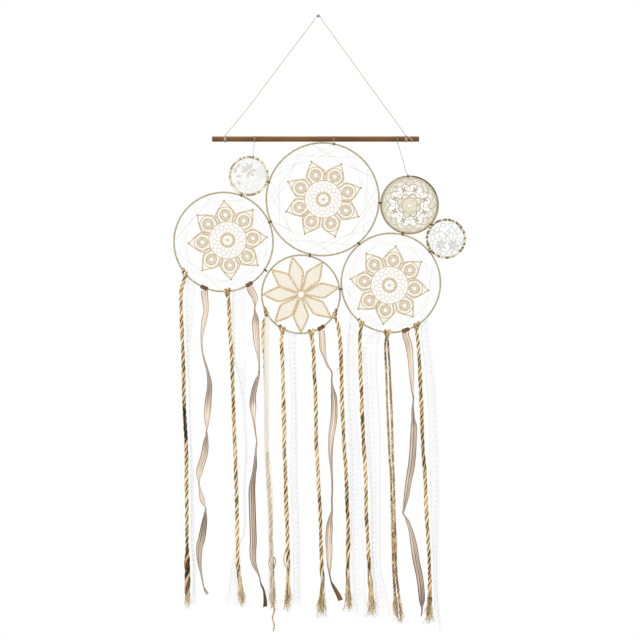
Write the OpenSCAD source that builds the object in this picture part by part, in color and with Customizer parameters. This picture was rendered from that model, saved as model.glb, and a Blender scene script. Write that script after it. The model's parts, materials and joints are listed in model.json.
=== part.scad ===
// Dream catcher of seven wrapped hoops on a dowel, with crocheted doilies and a long fringe.
// Millimetres. +X to the right, +Y towards the wall, +Z up. The origin is where the cord hangs
// on its nail. All hoops lie in the plane y = 0.

/* [Hanger] */
// Length of the wooden dowel
dowel_len = 455; // [420:1:500]
// Diameter of the dowel
dowel_d = 12; // [10:0.5:14]
// How far the dowel's axis lies below the nail
dowel_drop = 275; // [260:1:290]
// How far the middle of the dowel lies to the right of the nail
dowel_shift = -6; // [-10:1:10]
// Diameter of the hanging cord
cord_d = 1.6; // [1.5:0.1:2.5]
// Distance along the dowel between the two ties of the hanging cord
tie_span = 398; // [380:1:410]

/* [Hoops] */
// Diameter of the metal wire inside each hoop
wire_d = 3; // [2.5:0.1:3.2]
// Thickness of the thread wound round the wire
wrap_t = 0.5; // [0.4:0.1:0.6]
// Radius of the top hoop, to the middle of its wire
top_r = 124; // [122:0.5:126]
// Radius of the left and right hoops
side_r = 109; // [108:0.5:110]
// Radius of the hoop with the star flower
star_r = 86; // [85:0.5:87]
// Radius of the hoop with the round doily
doily_r = 63; // [62:0.5:64]
// Radius of the two small rings
small_r = 42; // [41:0.5:43]
// How far the middle of the top hoop lies to the right of the nail
top_shift = 9.5; // [8:0.5:11]
// Direction from the top hoop to the left hoop
left_angle = 203.3; // [202:0.1:205]
// Direction from the top hoop to the right hoop
right_angle = -50.8; // [-52:0.1:-50]

/* [Crochet] */
// Thickness of all crochet and doilies
crochet_t = 1.2; // [0.8:0.1:1.6]
// Radius of a mandala at the tips of its petals
petal_tip_r = 88; // [84:1:90]
// Radius of a mandala between its petals
petal_valley_r = 61; // [56:1:64]
// Thickness of the web's thread
thread_d = 0.8; // [0.6:0.1:1.2]

/* [Fringe] */
// Diameter of the jute ropes
rope_d = 9; // [8:0.5:9.5]
// Diameter of each strand of the thin double rope
strand_d = 5; // [4:0.5:5.5]
// Width of the ribbons
ribbon_w = 15; // [12:0.5:15.5]
// Thickness of ribbons and lace
cloth_t = 1; // [0.8:0.1:1.2]

/* [Hidden] */
$fn = 48;
TOP = 0;
LEFT = 1;
RIGHT = 2;
STAR = 3;
DOILY = 4;
SMALL_LEFT = 5;
SMALL_RIGHT = 6;
HOOPS = ["top", "left", "right", "star", "doily", "small_left", "small_right"];
HOOP_R = [top_r, side_r, side_r, star_r, doily_r, small_r, small_r];

khaki = [0.62, 0.55, 0.40];
steel = [0.55, 0.53, 0.50];
tan_crochet = [0.87, 0.79, 0.65];
cream = [0.92, 0.88, 0.78];
white_lace = [0.96, 0.96, 0.97];
jute = [0.72, 0.58, 0.36];
olive = [0.30, 0.26, 0.16];
taupe = [0.79, 0.73, 0.69];
brown_band = [0.45, 0.29, 0.14];
wood = [0.55, 0.38, 0.20];
twine = [0.75, 0.71, 0.63];
dark_twine = [0.45, 0.40, 0.33];

wrap_r = wire_d / 2 + wrap_t;
hoop_gap = 0.4; // air between two hoops, and between the top hoop and the dowel
fit = 0.1; // radial room of a sleeve round a curved wire
running = 0.05; // radial room of a loop that turns round the dowel
snug = 0.02; // radial room of thread wound round a wire or the dowel
bite = 0.2; // how far a thread or cord runs into what it is tied to
string_air = 0.1; // air between a string and the loops at its two ends
tie_t = 1.5; // thickness of the cord's ties on the dowel
tie_w = 6;
loop_t = 1.1; // thickness of the hoops' loops on the dowel
loop_w = 3;
lash_t = 0.7; // thickness of the lashings between hoops
lash_w = 5;
string_tie_w = 4; // length of a string's tie on its hoop
top_knot_r = 2.4; // knot of the hanging cord
top_knot_drop = 5; // how far it lies below the nail
knot_r = 7; // radius of a rope's knot
band_r = 3.5; // outer radius of a ribbon's band
fold_r = 2.8; // outer radius of a lace strip's fold
hinge_gap = 1.2; // from the lowest point of a knot, band or fold down to the hinge line
start_gap = 1; // from the hinge line down to the first point of the hanging piece
neck = 0.35; // a rope's thickness at its hinge, as a share of its full thickness
neck_len = 14; // and the length over which it would grow by its full thickness
splay = 0.4; // how much thicker a rope gets where it frays, as a share
splay_len = 60; // length of its frayed end
strand_gap = 3; // between the tops of the two strands of the double rope
// How far behind the hoops each lace strip hangs. The third hangs in front of its rope
LACE_Y = [6, 6, -7, 6, 6, 6, 6];

// Plane geometry: a point is [x, z]

function polar(r, a) = [r * cos(a), r * sin(a)];
function unit(v) = v / norm(v);

// Distance between the middles of two hoops that lie edge to edge
function apart(r1, r2) = r1 + r2 + 2 * wrap_r + hoop_gap;

// The point at distance d1 from c1 and d2 from c2, on the side that the sign says
function meet(c1, d1, c2, d2, side) =
    let (v = c2 - c1, d = norm(v), a = (d1 * d1 - d2 * d2 + d * d) / (2 * d))
    c1 + v * a / d + side * sqrt(d1 * d1 - a * a) * [-v.y, v.x] / d;

top_c = [top_shift, -dowel_drop - dowel_d / 2 - hoop_gap - wrap_r - top_r];
left_c = top_c + polar(apart(top_r, side_r), left_angle);
right_c = top_c + polar(apart(top_r, side_r), right_angle);
star_c = meet(top_c, apart(top_r, star_r), right_c, apart(side_r, star_r), -1);
doily_c = meet(top_c, apart(top_r, doily_r), right_c, apart(side_r, doily_r), 1);
small_left_c = meet(top_c, apart(top_r, small_r), left_c, apart(side_r, small_r), -1);
small_right_c = meet(doily_c, apart(doily_r, small_r), right_c, apart(side_r, small_r), 1);
HOOP_C = [top_c, left_c, right_c, star_c, doily_c, small_left_c, small_right_c];

// Pairs of hoops that are lashed together
LASHED = [[SMALL_LEFT, TOP], [SMALL_LEFT, LEFT], [TOP, LEFT], [LEFT, STAR], [TOP, STAR], [TOP, RIGHT],
    [STAR, RIGHT], [TOP, DOILY], [DOILY, RIGHT], [DOILY, SMALL_RIGHT], [SMALL_RIGHT, RIGHT]];

function on_hoop(h, a) = HOOP_C[h] + polar(HOOP_R[h], a);

// How far a sleeve of this half length and radius reaches below the wire at angle a
function reach(half, r, a) = half * abs(cos(a)) + r * abs(sin(a));

// Mandalas: [hoop, middle's offset from the hoop's middle, direction of the first petal]
MANDALAS = [[TOP, [2, 0], 17.8], [LEFT, [9, 4], 5.3], [RIGHT, [-3, -5], 36.4]];
petals = 8; // of a mandala, and the tips of the star
petal_step = 360 / petals;
petal_bulge = 4.5;
petal_steps = 6;
eye_r = 4; // holes in the petals and in the middle
eye_at = 56;
star_tie = 0.8; // between a tip of the star and its hoop
star_tip_r = star_r - wrap_r - star_tie;
star_wide_r = 53;
star_wide = 16.5;
star_valley_r = 9;
star_hole_r = 6.4;
star_turn = 10;
// Round doilies with a ring of diamond windows: [hoop, windows, how far out they lie, half their width]
DOILIES = [[DOILY, 10, 37, 6], [SMALL_LEFT, 8, 24, 6], [SMALL_RIGHT, 8, 24, 6]];
doily_hole_r = 2;
doily_seam = 0.1; // how far a doily's edge runs into the thread of its hoop

// Places on the dowel where the hoops hang: the top hoop, and the two strings
TOP_TIE_X = 34.5;
LEFT_STRING_X = -140;
RIGHT_STRING_X = 174;
LEFT_STRING_ANGLE = 76.5;
RIGHT_STRING_ANGLE = 93;
string_d = 1.6;

// Where each rope, ribbon and lace strip is tied: [hoop, angle]
ROPE_TIES = [[LEFT, 218.6], [LEFT, 274.7], [STAR, 207.5], [STAR, 241.8], [STAR, 285.5], [STAR, 330.7],
    [RIGHT, 233], [RIGHT, 265.6], [RIGHT, 301.2]];
RIBBON_TIES = [[LEFT, 247.1], [LEFT, 301.2], [STAR, 301.2], [RIGHT, 287.4]];
// and for the lace also half the length of its fold
LACE_TIES = [[LEFT, 227.8, 9.5], [LEFT, 286.2, 12], [STAR, 216, 5], [STAR, 257, 9], [RIGHT, 224.2, 9],
    [RIGHT, 257.9, 5], [RIGHT, 311.4, 8]];

function rope_hinge(i) = let (t = ROPE_TIES[i]) on_hoop(t[0], t[1]) - [0, knot_r + hinge_gap];
function ribbon_hinge(i) = let (t = RIBBON_TIES[i])
    on_hoop(t[0], t[1]) - [0, reach(ribbon_w / 2, band_r, t[1]) + hinge_gap];
function lace_hinge(i) = let (t = LACE_TIES[i])
    on_hoop(t[0], t[1]) - [0, reach(t[2], fold_r, t[1]) + hinge_gap];

// Routes of the ropes below their knots, as [x, z]
ROPE_1 = [[-297, -590], [-302, -607], [-302, -640], [-301, -673], [-298, -740], [-296, -800], [-295, -871],
    [-292, -915], [-290, -970], [-290, -1025], [-289, -1090], [-289, -1157], [-288, -1212], [-288, -1267],
    [-286, -1300]];
ROPE_2 = [[-197, -632], [-196, -660], [-195, -695], [-192, -728], [-190, -765], [-189, -805], [-187, -850],
    [-186, -893], [-183, -959], [-181, -1025], [-179, -1090], [-178, -1157], [-176, -1223], [-171, -1262],
    [-169, -1294]];
ROPE_3 = [[-118, -672], [-121, -688], [-121, -708], [-120, -728], [-119, -750], [-117, -800], [-115, -849],
    [-114, -893], [-113, -937], [-111, -1003], [-107, -1069], [-104, -1115], [-104, -1157], [-102, -1201],
    [-101, -1255], [-101, -1302]];
ROPE_4 = [[-81, -710], [-81, -728], [-79, -760], [-78, -794], [-77, -838], [-76, -882], [-75, -920],
    [-75, -959], [-73, -995], [-72, -1025], [-71, -1069], [-69, -1113], [-68, -1145], [-67, -1179],
    [-66, -1245], [-66, -1305]];
ROPE_5 = [[-12, -728], [-10, -760], [-9, -794], [-7, -820], [-6, -849], [-5, -893], [-5, -937], [-2, -980],
    [0, -1025], [2, -1060], [4, -1091], [5, -1135], [7, -1201], [9, -1245], [8, -1280], [6, -1317]];
ROPE_6 = [[41, -676], [44, -690], [48, -717], [50, -755], [51, -794], [52, -849], [54, -893], [56, -937],
    [59, -980], [62, -1025], [63, -1069], [65, -1110], [66, -1157], [65, -1190], [65, -1250], [66, -1305]];
ROPE_7 = [[92, -700], [91, -728], [92, -760], [93, -794], [95, -835], [96, -871], [98, -905], [99, -937],
    [102, -981], [104, -1015], [105, -1047], [106, -1113], [109, -1160], [111, -1201], [115, -1256],
    [118, -1317]];
ROPE_8_LEFT = [[148, -717], [147, -735], [148, -761], [150, -805], [151, -849], [153, -893], [155, -937],
    [157, -981], [159, -1000], [160, -1030], [161, -1064], [162, -1100], [163, -1135], [165, -1223],
    [168, -1270], [171, -1326]];
ROPE_8_RIGHT = [[153, -717], [154, -735], [156, -761], [158, -805], [160, -849], [162, -893], [163, -937],
    [164, -981], [165, -1000], [166, -1030], [167, -1064], [168, -1100], [169, -1135], [171, -1223],
    [176, -1267], [183, -1333]];
ROPE_9 = [[217, -704], [219, -720], [222, -761], [224, -795], [225, -827], [227, -860], [228, -893],
    [230, -959], [234, -1003], [237, -1069], [240, -1135], [243, -1179], [245, -1245], [245, -1288],
    [244, -1310], [244, -1333]];
ROPES = [ROPE_1, ROPE_2, ROPE_3, ROPE_4, ROPE_5, ROPE_6, ROPE_7, ROPE_8_LEFT, ROPE_9];

// Stations of the ribbons: [x, z, how far the ribbon has turned about its own line]
RIBBON_1 = [[-250, -618, 5], [-247, -651, 37], [-251, -673, 37], [-256, -706, 62], [-256, -739, 78],
    [-254, -752, 90], [-248, -770, 105], [-243, -787, 110], [-239, -816, 132], [-242, -849, 158],
    [-245, -893, 217], [-245, -919, 270], [-247, -937, 307], [-251, -970, 355], [-261, -1003, 370],
    [-263, -1029, 435], [-260, -1047, 422], [-255, -1069, 400], [-249, -1089, 450], [-250, -1113, 492],
    [-257, -1157, 540], [-261, -1168, 550], [-262, -1201, 583], [-257, -1234, 610], [-251, -1260, 622],
    [-244, -1276, 650]];
RIBBON_2 = [[-146, -612, 0], [-140, -622, 20], [-139, -638, 66], [-141, -649, 90], [-138, -662, 122],
    [-138, -684, 180], [-136, -717, 201], [-132, -750, 238], [-129, -785, 270], [-135, -805, 302],
    [-141, -827, 317], [-144, -849, 330], [-143, -875, 397], [-141, -897, 426], [-138, -926, 442],
    [-137, -944, 450], [-139, -992, 482], [-142, -1014, 487], [-146, -1047, 519], [-145, -1091, 540],
    [-143, -1157, 540], [-144, -1179, 545], [-143, -1201, 570], [-139, -1216, 587], [-129, -1238, 618],
    [-124, -1256, 630], [-120, -1267, 641], [-117, -1289, 658], [-117, -1304, 667]];
RIBBON_3 = [[8, -706, 20], [9, -728, 20], [10, -739, 30], [14, -754, 62], [20, -772, 71], [28, -787, 88],
    [29, -805, 98], [32, -827, 122], [34, -842, 150], [35, -860, 159], [34, -893, 180], [30, -919, 201],
    [28, -937, 217], [27, -970, 233], [29, -1003, 251], [31, -1036, 258], [31, -1069, 270], [30, -1091, 289],
    [26, -1113, 313], [24, -1135, 355], [23, -1157, 360], [24, -1179, 380], [24, -1212, 408], [25, -1240, 448],
    [32, -1256, 422], [44, -1278, 405], [49, -1290, 400]];
RIBBON_4 = [[193, -710, 0], [199, -728, 0], [203, -761, 37], [205, -794, 48], [207, -827, 70],
    [208, -845, 90], [208, -871, 118], [209, -893, 127], [210, -908, 159], [209, -937, 170], [208, -959, 180],
    [205, -992, 183], [199, -1025, 210], [194, -1058, 223], [189, -1085, 250], [188, -1098, 268],
    [195, -1113, 242], [203, -1135, 233], [210, -1168, 200], [215, -1201, 180], [222, -1234, 176],
    [226, -1262, 170], [228, -1289, 150], [228, -1307, 106], [225, -1324, 95]];
RIBBONS = [RIBBON_1, RIBBON_2, RIBBON_3, RIBBON_4];

// Edges of the lace strips: [left x, right x, z]
LACE_1 = [[-289, -272, -593], [-293, -274, -631], [-291, -279, -695], [-290, -283, -739], [-288, -283, -794],
    [-285, -281, -849], [-283, -279, -937], [-281, -274, -1025], [-281, -274, -1157], [-277, -270, -1212],
    [-277, -270, -1298]];
LACE_2 = [[-188, -163, -620], [-189, -160, -690], [-189, -160, -761], [-179, -160, -783], [-168, -161, -849],
    [-163, -158, -915], [-161, -155, -959], [-165, -160, -1047], [-165, -160, -1135], [-176, -170, -1165],
    [-188, -183, -1192], [-196, -181, -1245], [-204, -177, -1300]];
LACE_3 = [[-117, -106, -673], [-119, -108, -739], [-119, -108, -937], [-116, -104, -1003],
    [-113, -99, -1069], [-110, -100, -1157], [-109, -99, -1290]];
LACE_4 = [[-67, -49, -708], [-64, -48, -780], [-60, -47, -849], [-61, -45, -1025], [-57, -42, -1113],
    [-55, -41, -1201], [-54, -40, -1300]];
LACE_5 = [[70, 86, -679], [64, 83, -717], [64, 85, -805], [67, 88, -893], [71, 92, -981], [73, 96, -1069],
    [75, 99, -1157], [77, 103, -1245], [83, 106, -1328]];
LACE_6 = [[131, 140, -704], [102, 131, -728], [104, 130, -805], [108, 136, -893], [111, 138, -981],
    [116, 137, -1069], [117, 137, -1157], [120, 139, -1223], [125, 149, -1267], [129, 160, -1328]];
LACE_7 = [[226, 240, -683], [228, 245, -717], [238, 256, -805], [244, 261, -893], [246, 265, -981],
    [248, 266, -1069], [251, 264, -1157], [253, 262, -1201], [255, 263, -1267], [257, 267, -1311],
    [268, 270, -1357]];
LACES = [LACE_1, LACE_2, LACE_3, LACE_4, LACE_5, LACE_6, LACE_7];

// The hanging cord from the left tie over the nail to the right tie, as [x, z]
cord_foot = dowel_d / 2 + tie_t - bite;
HANGING = [[dowel_shift - tie_span / 2, -dowel_drop + cord_foot], [-150, -200], [-90, -120.5], [-30, -41],
    [-12, -17], [-6, -8.5], [-2.5, -2.6], [0, -0.8], [2.5, -2.6], [6, -8.5], [12, -17.5], [30, -43],
    [90, -126], [150, -208.5], [dowel_shift + tie_span / 2, -dowel_drop + cord_foot]];
string_top = -dowel_drop - dowel_d / 2 - loop_t - string_air;
LEFT_STRING = [[LEFT_STRING_X, string_top], [-141, -290], [-143, -300]];
RIGHT_STRING = [[RIGHT_STRING_X, string_top], [177, -292], [182, -308], [187, -324], [190, -338],
    [194, -349]];

// Shared shapes

module upright() {
    rotate([90, 0, 0]) children();
}

module at(p) {
    translate([p.x, 0, p.y]) children();
}

// A flat piece of thickness t, its middle at depth y
module flat(t, y = 0) {
    translate([0, y, 0]) upright() linear_extrude(t, center = true) children();
}

module ring(c, major, minor) {
    at(c) upright() rotate_extrude() translate([major, 0]) circle(minor);
}

// A tube round the dowel's line, at x
module dowel_sleeve(x, w, inner, outer) {
    translate([x, 0, -dowel_drop]) rotate([0, 90, 0]) difference() {
        cylinder(h = w, r = outer, center = true);
        cylinder(h = w + 2, r = inner, center = true);
    }
}

// A tube round a hoop's wire, half its length to each side of angle a
module wire_sleeve(h, a, half, outer) {
    half_angle = half / HOOP_R[h] * 180 / PI;
    at(HOOP_C[h]) upright() rotate([0, 0, a - half_angle])
        rotate_extrude(angle = 2 * half_angle) translate([HOOP_R[h], 0]) difference() {
            circle(outer);
            circle(wrap_r + fit);
        }
}

// A thin straight thread from p to q, before it is given its thickness
module thread(p, q) {
    v = q - p;
    translate(p) rotate([0, 0, atan2(v.y, v.x)]) translate([-bite, -thread_d / 2])
        square([norm(v) + 2 * bite, thread_d]);
}

// Swept shapes

// A smooth curve through the points of p, with n steps from each point to the next
function curve_point(p, i, t) =
    let (a = p[max(i - 1, 0)], b = p[i], c = p[i + 1], d = p[min(i + 2, len(p) - 1)])
    0.5 * (2 * b + (c - a) * t + (2 * a - 5 * b + 4 * c - d) * t * t + (3 * b - a - 3 * c + d) * t * t * t);
function smooth(p, n) =
    [for (i = [0:len(p) - 2], k = [0:n - 1]) curve_point(p, i, k / n), p[len(p) - 1]];
function heading(p, i) = unit(p[min(i + 1, len(p) - 1)] - p[max(i - 1, 0)]);

// A point beside p, out along the plane of the hoops and back towards the wall
function beside(p, h, out, back) = [p.x + out * h.y, back, p.y - out * h.x];

// Joins rings of points, which all have the same count, into one closed solid. The two halves
// of a ring are cut along opposite diagonals, so that both faces of a thin strip match.
module skin(rings) {
    n = len(rings[0]);
    m = len(rings);
    polyhedron(
        points = [for (r = rings, p = r) p],
        faces = concat(
            [[for (k = [n - 1:-1:0]) k]],
            [for (i = [0:m - 2], k = [0:n - 1])
                let (a = i * n + k, b = i * n + (k + 1) % n, c = a + n, d = b + n)
                each k < n / 2 ? [[a, d, c], [a, b, d]] : [[a, b, c], [c, b, d]]],
            [[for (k = [0:n - 1]) (m - 1) * n + k]]));
}

// A tube along a line of [x, z] points, with one radius for each point
module tube(line, radii) {
    sides = 8;
    skin([for (i = [0:len(line) - 1]) let (h = heading(line, i))
        [for (k = [0:sides - 1]) let (a = -360 * k / sides)
            beside(line[i], h, radii[i] * cos(a), radii[i] * sin(a))]]);
}

// A rope thins out to its hinge at the top and spreads a little where it frays
function rope_radii(line, r) =
    let (high = line[0].y, low = line[len(line) - 1].y)
    [for (p = line) r * min(1, neck + (high - p.y) / neck_len)
        * (1 + splay * max(0, 1 - (p.y - low) / splay_len))];

module rope(hinge, route, d, shift = 0) {
    line = smooth(concat([hinge + [shift, -start_gap]], route), 2);
    tube(line, rope_radii(line, d / 2));
}

// A flat strip that turns about its own line, through stations of [x, z, turn]
module ribbon(i) {
    hinge = ribbon_hinge(i);
    first = [hinge.x, hinge.y - start_gap, RIBBONS[i][0].z];
    line = smooth(concat([first], RIBBONS[i]), 3);
    flat_line = [for (s = line) [s.x, s.y]];
    skin([for (k = [0:len(line) - 1])
        let (h = heading(flat_line, k), a = line[k].z, w = ribbon_w / 2, t = cloth_t / 2)
        [for (c = [[w, t], [w, -t], [-w, -t], [-w, t]])
            beside(flat_line[k], h, c.x * cos(a) - c.y * sin(a), c.x * sin(a) + c.y * cos(a))]]);
}

// The pieces

module dowel() color(wood)
    translate([dowel_shift, 0, -dowel_drop]) rotate([0, 90, 0])
        cylinder(h = dowel_len, d = dowel_d, center = true);

module hanging_cord() color(twine) {
    line = smooth(HANGING, 2);
    tube(line, [for (p = line) cord_d / 2]);
}

module top_knot() color(dark_twine)
    translate([0, 0, -top_knot_drop]) sphere(top_knot_r);

module cord_tie(side) color(twine)
    dowel_sleeve(dowel_shift + side * tie_span / 2, tie_w, dowel_d / 2 + snug, dowel_d / 2 + tie_t);

module hoop(h) color(steel)
    ring(HOOP_C[h], HOOP_R[h], wire_d / 2);

module wrap(h) color(khaki)
    at(HOOP_C[h]) upright() rotate_extrude() translate([HOOP_R[h], 0]) difference() {
        circle(wrap_r);
        circle(wire_d / 2 + snug);
    }

// One side of a petal, from its tip to the valley: a shallow arc
function petal_side(a, side) =
    let (tip = polar(petal_tip_r, a), valley = polar(petal_valley_r, a + side * petal_step / 2),
        v = valley - tip, out = side * unit([v.y, -v.x]) * petal_bulge)
    [for (k = [0:petal_steps]) let (s = k / petal_steps) tip + v * s + out * 4 * s * (1 - s)];
function reversed(list) = [for (i = [len(list) - 1:-1:0]) list[i]];
function mandala_outline(turn) = [for (i = [0:petals - 1])
    let (a = turn + petal_step * i)
    each concat([for (k = [0:petal_steps - 1]) reversed(petal_side(a, -1))[k]],
        [for (k = [0:petal_steps - 1]) petal_side(a, 1)[k]])];

module mandala(m) color(tan_crochet)
    at(HOOP_C[m[0]] + m[1]) flat(crochet_t) difference() {
        polygon(mandala_outline(m[2]));
        for (i = [0:petals - 1]) translate(polar(eye_at, m[2] + petal_step * i)) circle(eye_r, $fn = 8);
        circle(eye_r, $fn = 8);
    }

// Two rounds of thread between a mandala and its hoop
module web(m) color(white_lace) {
    n = 2 * petals;
    hoop_c = HOOP_C[m[0]];
    hoop_r = HOOP_R[m[0]] - wrap_r;
    outer = [for (i = [0:n - 1]) hoop_c + polar(hoop_r, m[2] + 360 / n * i)];
    inner = [for (i = [0:n - 1])
        hoop_c + m[1] + polar(i % 2 == 0 ? petal_tip_r : petal_valley_r, m[2] + 360 / n * i)];
    middle = [for (i = [0:n - 1]) (outer[i] + outer[(i + 1) % n] + inner[i] + inner[(i + 1) % n]) / 4];
    flat(thread_d) for (i = [0:n - 1]) {
        thread(outer[i], middle[i]);
        thread(outer[(i + 1) % n], middle[i]);
        thread(inner[i], middle[i]);
        thread(inner[(i + 1) % n], middle[i]);
    }
}

module star_flower() color(cream)
    at(star_c) flat(crochet_t) difference() {
        polygon([for (i = [0:petals - 1])
            let (a = star_turn + petal_step * i, wide = atan(star_wide / star_wide_r),
                side = norm([star_wide, star_wide_r]))
            each [polar(star_valley_r, a - petal_step / 2), polar(side, a - wide), polar(star_tip_r, a),
                polar(side, a + wide)]]);
        circle(star_hole_r, $fn = 12);
    }

// Threads that tie each tip of the star to its hoop
module star_ties() color(white_lace)
    at(star_c) flat(thread_d) for (i = [0:petals - 1]) {
        a = star_turn + petal_step * i;
        thread(polar(star_tip_r - star_tie, a), polar(star_r - wrap_r, a));
    }

// A disc with a ring of windows that reaches its hoop all round
module doily(d) color(cream)
    at(HOOP_C[d[0]]) flat(crochet_t) difference() {
        circle(HOOP_R[d[0]] - wrap_r + doily_seam);
        for (i = [0:d[1] - 1]) rotate([0, 0, 360 * i / d[1]]) translate([d[2], 0])
            circle(d[3], $fn = 4);
        circle(doily_hole_r, $fn = 8);
    }

module lashing(a, b) {
    u = unit(HOOP_C[b] - HOOP_C[a]);
    from = HOOP_C[a] + HOOP_R[a] * u;
    to = HOOP_C[b] - HOOP_R[b] * u;
    span = norm(to - from);
    at((from + to) / 2) rotate([0, -atan2(u.y, u.x), 0])
        linear_extrude(lash_w, center = true) difference() {
            union() {
                for (side = [-1, 1]) translate([side * span / 2, 0]) circle(wrap_r + lash_t);
                square([span, 2 * wrap_r + lash_t], center = true);
            }
            for (side = [-1, 1]) translate([side * span / 2, 0]) circle(wrap_r + fit);
        }
}

// Thread lashings between hoops, and the ends of the strings on the hoops
module hoop_lashings() color(olive) {
    for (pair = LASHED) lashing(pair[0], pair[1]);
    top_angle = acos((TOP_TIE_X - top_c.x) / top_r);
    wire_sleeve(TOP, top_angle, loop_w / 2, wrap_r + lash_t);
    wire_sleeve(SMALL_LEFT, LEFT_STRING_ANGLE, string_tie_w / 2, wrap_r + lash_t);
    wire_sleeve(DOILY, RIGHT_STRING_ANGLE, string_tie_w / 2, wrap_r + lash_t);
}

module dowel_loops() color(khaki)
    for (x = [TOP_TIE_X, LEFT_STRING_X, RIGHT_STRING_X])
        dowel_sleeve(x, loop_w, dowel_d / 2 + running, dowel_d / 2 + loop_t);

module string(route, end_hoop, end_angle) color(twine) {
    foot = on_hoop(end_hoop, end_angle) + polar(wrap_r + lash_t + string_air, end_angle);
    line = smooth(concat(route, [foot]), 2);
    tube(line, [for (p = line) string_d / 2]);
}

module left_string() string(LEFT_STRING, SMALL_LEFT, LEFT_STRING_ANGLE);

module right_string() string(RIGHT_STRING, DOILY, RIGHT_STRING_ANGLE);

module rope_knots() color(jute)
    for (t = ROPE_TIES) difference() {
        at(on_hoop(t[0], t[1])) sphere(knot_r);
        ring(HOOP_C[t[0]], HOOP_R[t[0]], wrap_r + fit);
    }

module ribbon_bands() color(brown_band)
    for (t = RIBBON_TIES) wire_sleeve(t[0], t[1], ribbon_w / 2, band_r);

module lace_folds() color(white_lace)
    for (t = LACE_TIES) wire_sleeve(t[0], t[1], t[2], fold_r);

module jute_rope(i) color(jute)
    rope(rope_hinge(i), ROPES[i], rope_d);

module rope_8_left() color(jute)
    rope(rope_hinge(7), ROPE_8_LEFT, strand_d, -strand_gap / 2);

module rope_8_right() color(jute)
    rope(rope_hinge(7), ROPE_8_RIGHT, strand_d, strand_gap / 2);

module sheer_ribbon(i) color(taupe)
    ribbon(i);

module lace(i) color(white_lace)
    flat(cloth_t, LACE_Y[i]) polygon(concat(
        [for (s = LACES[i]) [s.x, s.z]], [for (s = reversed(LACES[i])) [s.y, s.z]]));

dowel();
hanging_cord();
top_knot();
cord_tie(-1);  // cord_tie_left
cord_tie(1);  // cord_tie_right
for (h = [0:6]) hoop(h);
for (h = [0:6]) wrap(h);
mandala(MANDALAS[0]);  // mandala_top
mandala(MANDALAS[1]);  // mandala_left
mandala(MANDALAS[2]);  // mandala_right
star_flower();
doily(DOILIES[0]);  // round_doily
doily(DOILIES[1]);  // lace_motif_left
doily(DOILIES[2]);  // lace_motif_right
web(MANDALAS[0]);  // web_top
web(MANDALAS[1]);  // web_left
web(MANDALAS[2]);  // web_right
star_ties();
hoop_lashings();
dowel_loops();
left_string();
right_string();
rope_knots();
ribbon_bands();
lace_folds();
for (i = [0:6]) jute_rope(i);
rope_8_left();
rope_8_right();
jute_rope(8);  // rope_9
for (i = [0:3]) sheer_ribbon(i);
for (i = [0:6]) lace(i);
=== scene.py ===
"""Dream catcher: seven wrapped hoops below a dowel, crocheted doilies, and a fringe of jute ropes,
ribbons and lace. Shapes are worked out in millimetres in the row frame (X right, Y towards the wall,
Z up) and turned into metres when a mesh is made."""

import json
import math

import bpy
import numpy as np
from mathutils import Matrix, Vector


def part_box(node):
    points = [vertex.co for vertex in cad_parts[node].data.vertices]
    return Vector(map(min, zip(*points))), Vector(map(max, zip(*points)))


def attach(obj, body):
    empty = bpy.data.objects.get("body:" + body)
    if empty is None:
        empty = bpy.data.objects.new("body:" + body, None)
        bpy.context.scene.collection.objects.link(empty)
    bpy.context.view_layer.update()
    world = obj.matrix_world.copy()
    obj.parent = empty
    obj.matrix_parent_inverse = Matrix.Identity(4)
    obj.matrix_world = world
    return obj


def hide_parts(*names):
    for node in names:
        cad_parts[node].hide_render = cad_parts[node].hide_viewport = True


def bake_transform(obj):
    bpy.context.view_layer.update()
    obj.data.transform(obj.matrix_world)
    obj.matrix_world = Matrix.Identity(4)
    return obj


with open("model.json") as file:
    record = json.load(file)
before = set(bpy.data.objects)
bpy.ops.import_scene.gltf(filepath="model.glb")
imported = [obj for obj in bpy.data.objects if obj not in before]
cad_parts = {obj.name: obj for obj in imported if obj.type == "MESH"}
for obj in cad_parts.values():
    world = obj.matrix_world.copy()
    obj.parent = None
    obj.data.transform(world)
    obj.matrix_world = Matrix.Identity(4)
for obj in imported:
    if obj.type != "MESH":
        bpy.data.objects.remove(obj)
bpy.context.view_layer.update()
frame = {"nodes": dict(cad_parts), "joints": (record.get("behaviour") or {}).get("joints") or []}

MM = 0.001
rng = np.random.default_rng(11)
X, Y, Z = np.eye(3)
HINGES = {j["child"]: np.array(j["pos_m"]) / MM for j in frame["joints"]}


def middle(node):
    """[x, z] of the middle of a node's box."""
    low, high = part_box(node)
    return np.array([(low.x + high.x) / 2, (low.z + high.z) / 2]) / MM


HOOPS = ("top", "left", "right", "star", "doily", "small_left", "small_right")
WRAP_R = 2.0  # of the thread wound round a hoop's wire, from the wire's middle
HOOP_C = {h: middle("wrap_" + h) for h in HOOPS}
HOOP_R = {h: (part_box("wrap_" + h)[1].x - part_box("wrap_" + h)[0].x) / MM / 2 - WRAP_R for h in HOOPS}

# ---- camera and light, in metres

CAMERA_AT = (0.0037, -3.324, -0.673)
CAMERA_LENS = 85
LIT_POINT = (0, 0, -0.65)


def aim(obj, target):
    direction = np.array(target) - np.array(obj.location)
    yaw = math.atan2(-direction[0], direction[1])
    pitch = math.atan2(direction[2], math.hypot(direction[0], direction[1]))
    obj.rotation_euler = (math.pi / 2 + pitch, 0, yaw)


def add(name, data, location=(0, 0, 0)):
    obj = bpy.data.objects.new(name, data)
    obj.location = location
    bpy.context.scene.collection.objects.link(obj)
    return obj


camera = add("camera", bpy.data.cameras.new("camera"), CAMERA_AT)
camera.data.lens = CAMERA_LENS
camera.data.sensor_width = 36
camera.rotation_euler = (math.pi / 2, 0, 0)
bpy.context.scene.camera = camera


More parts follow.
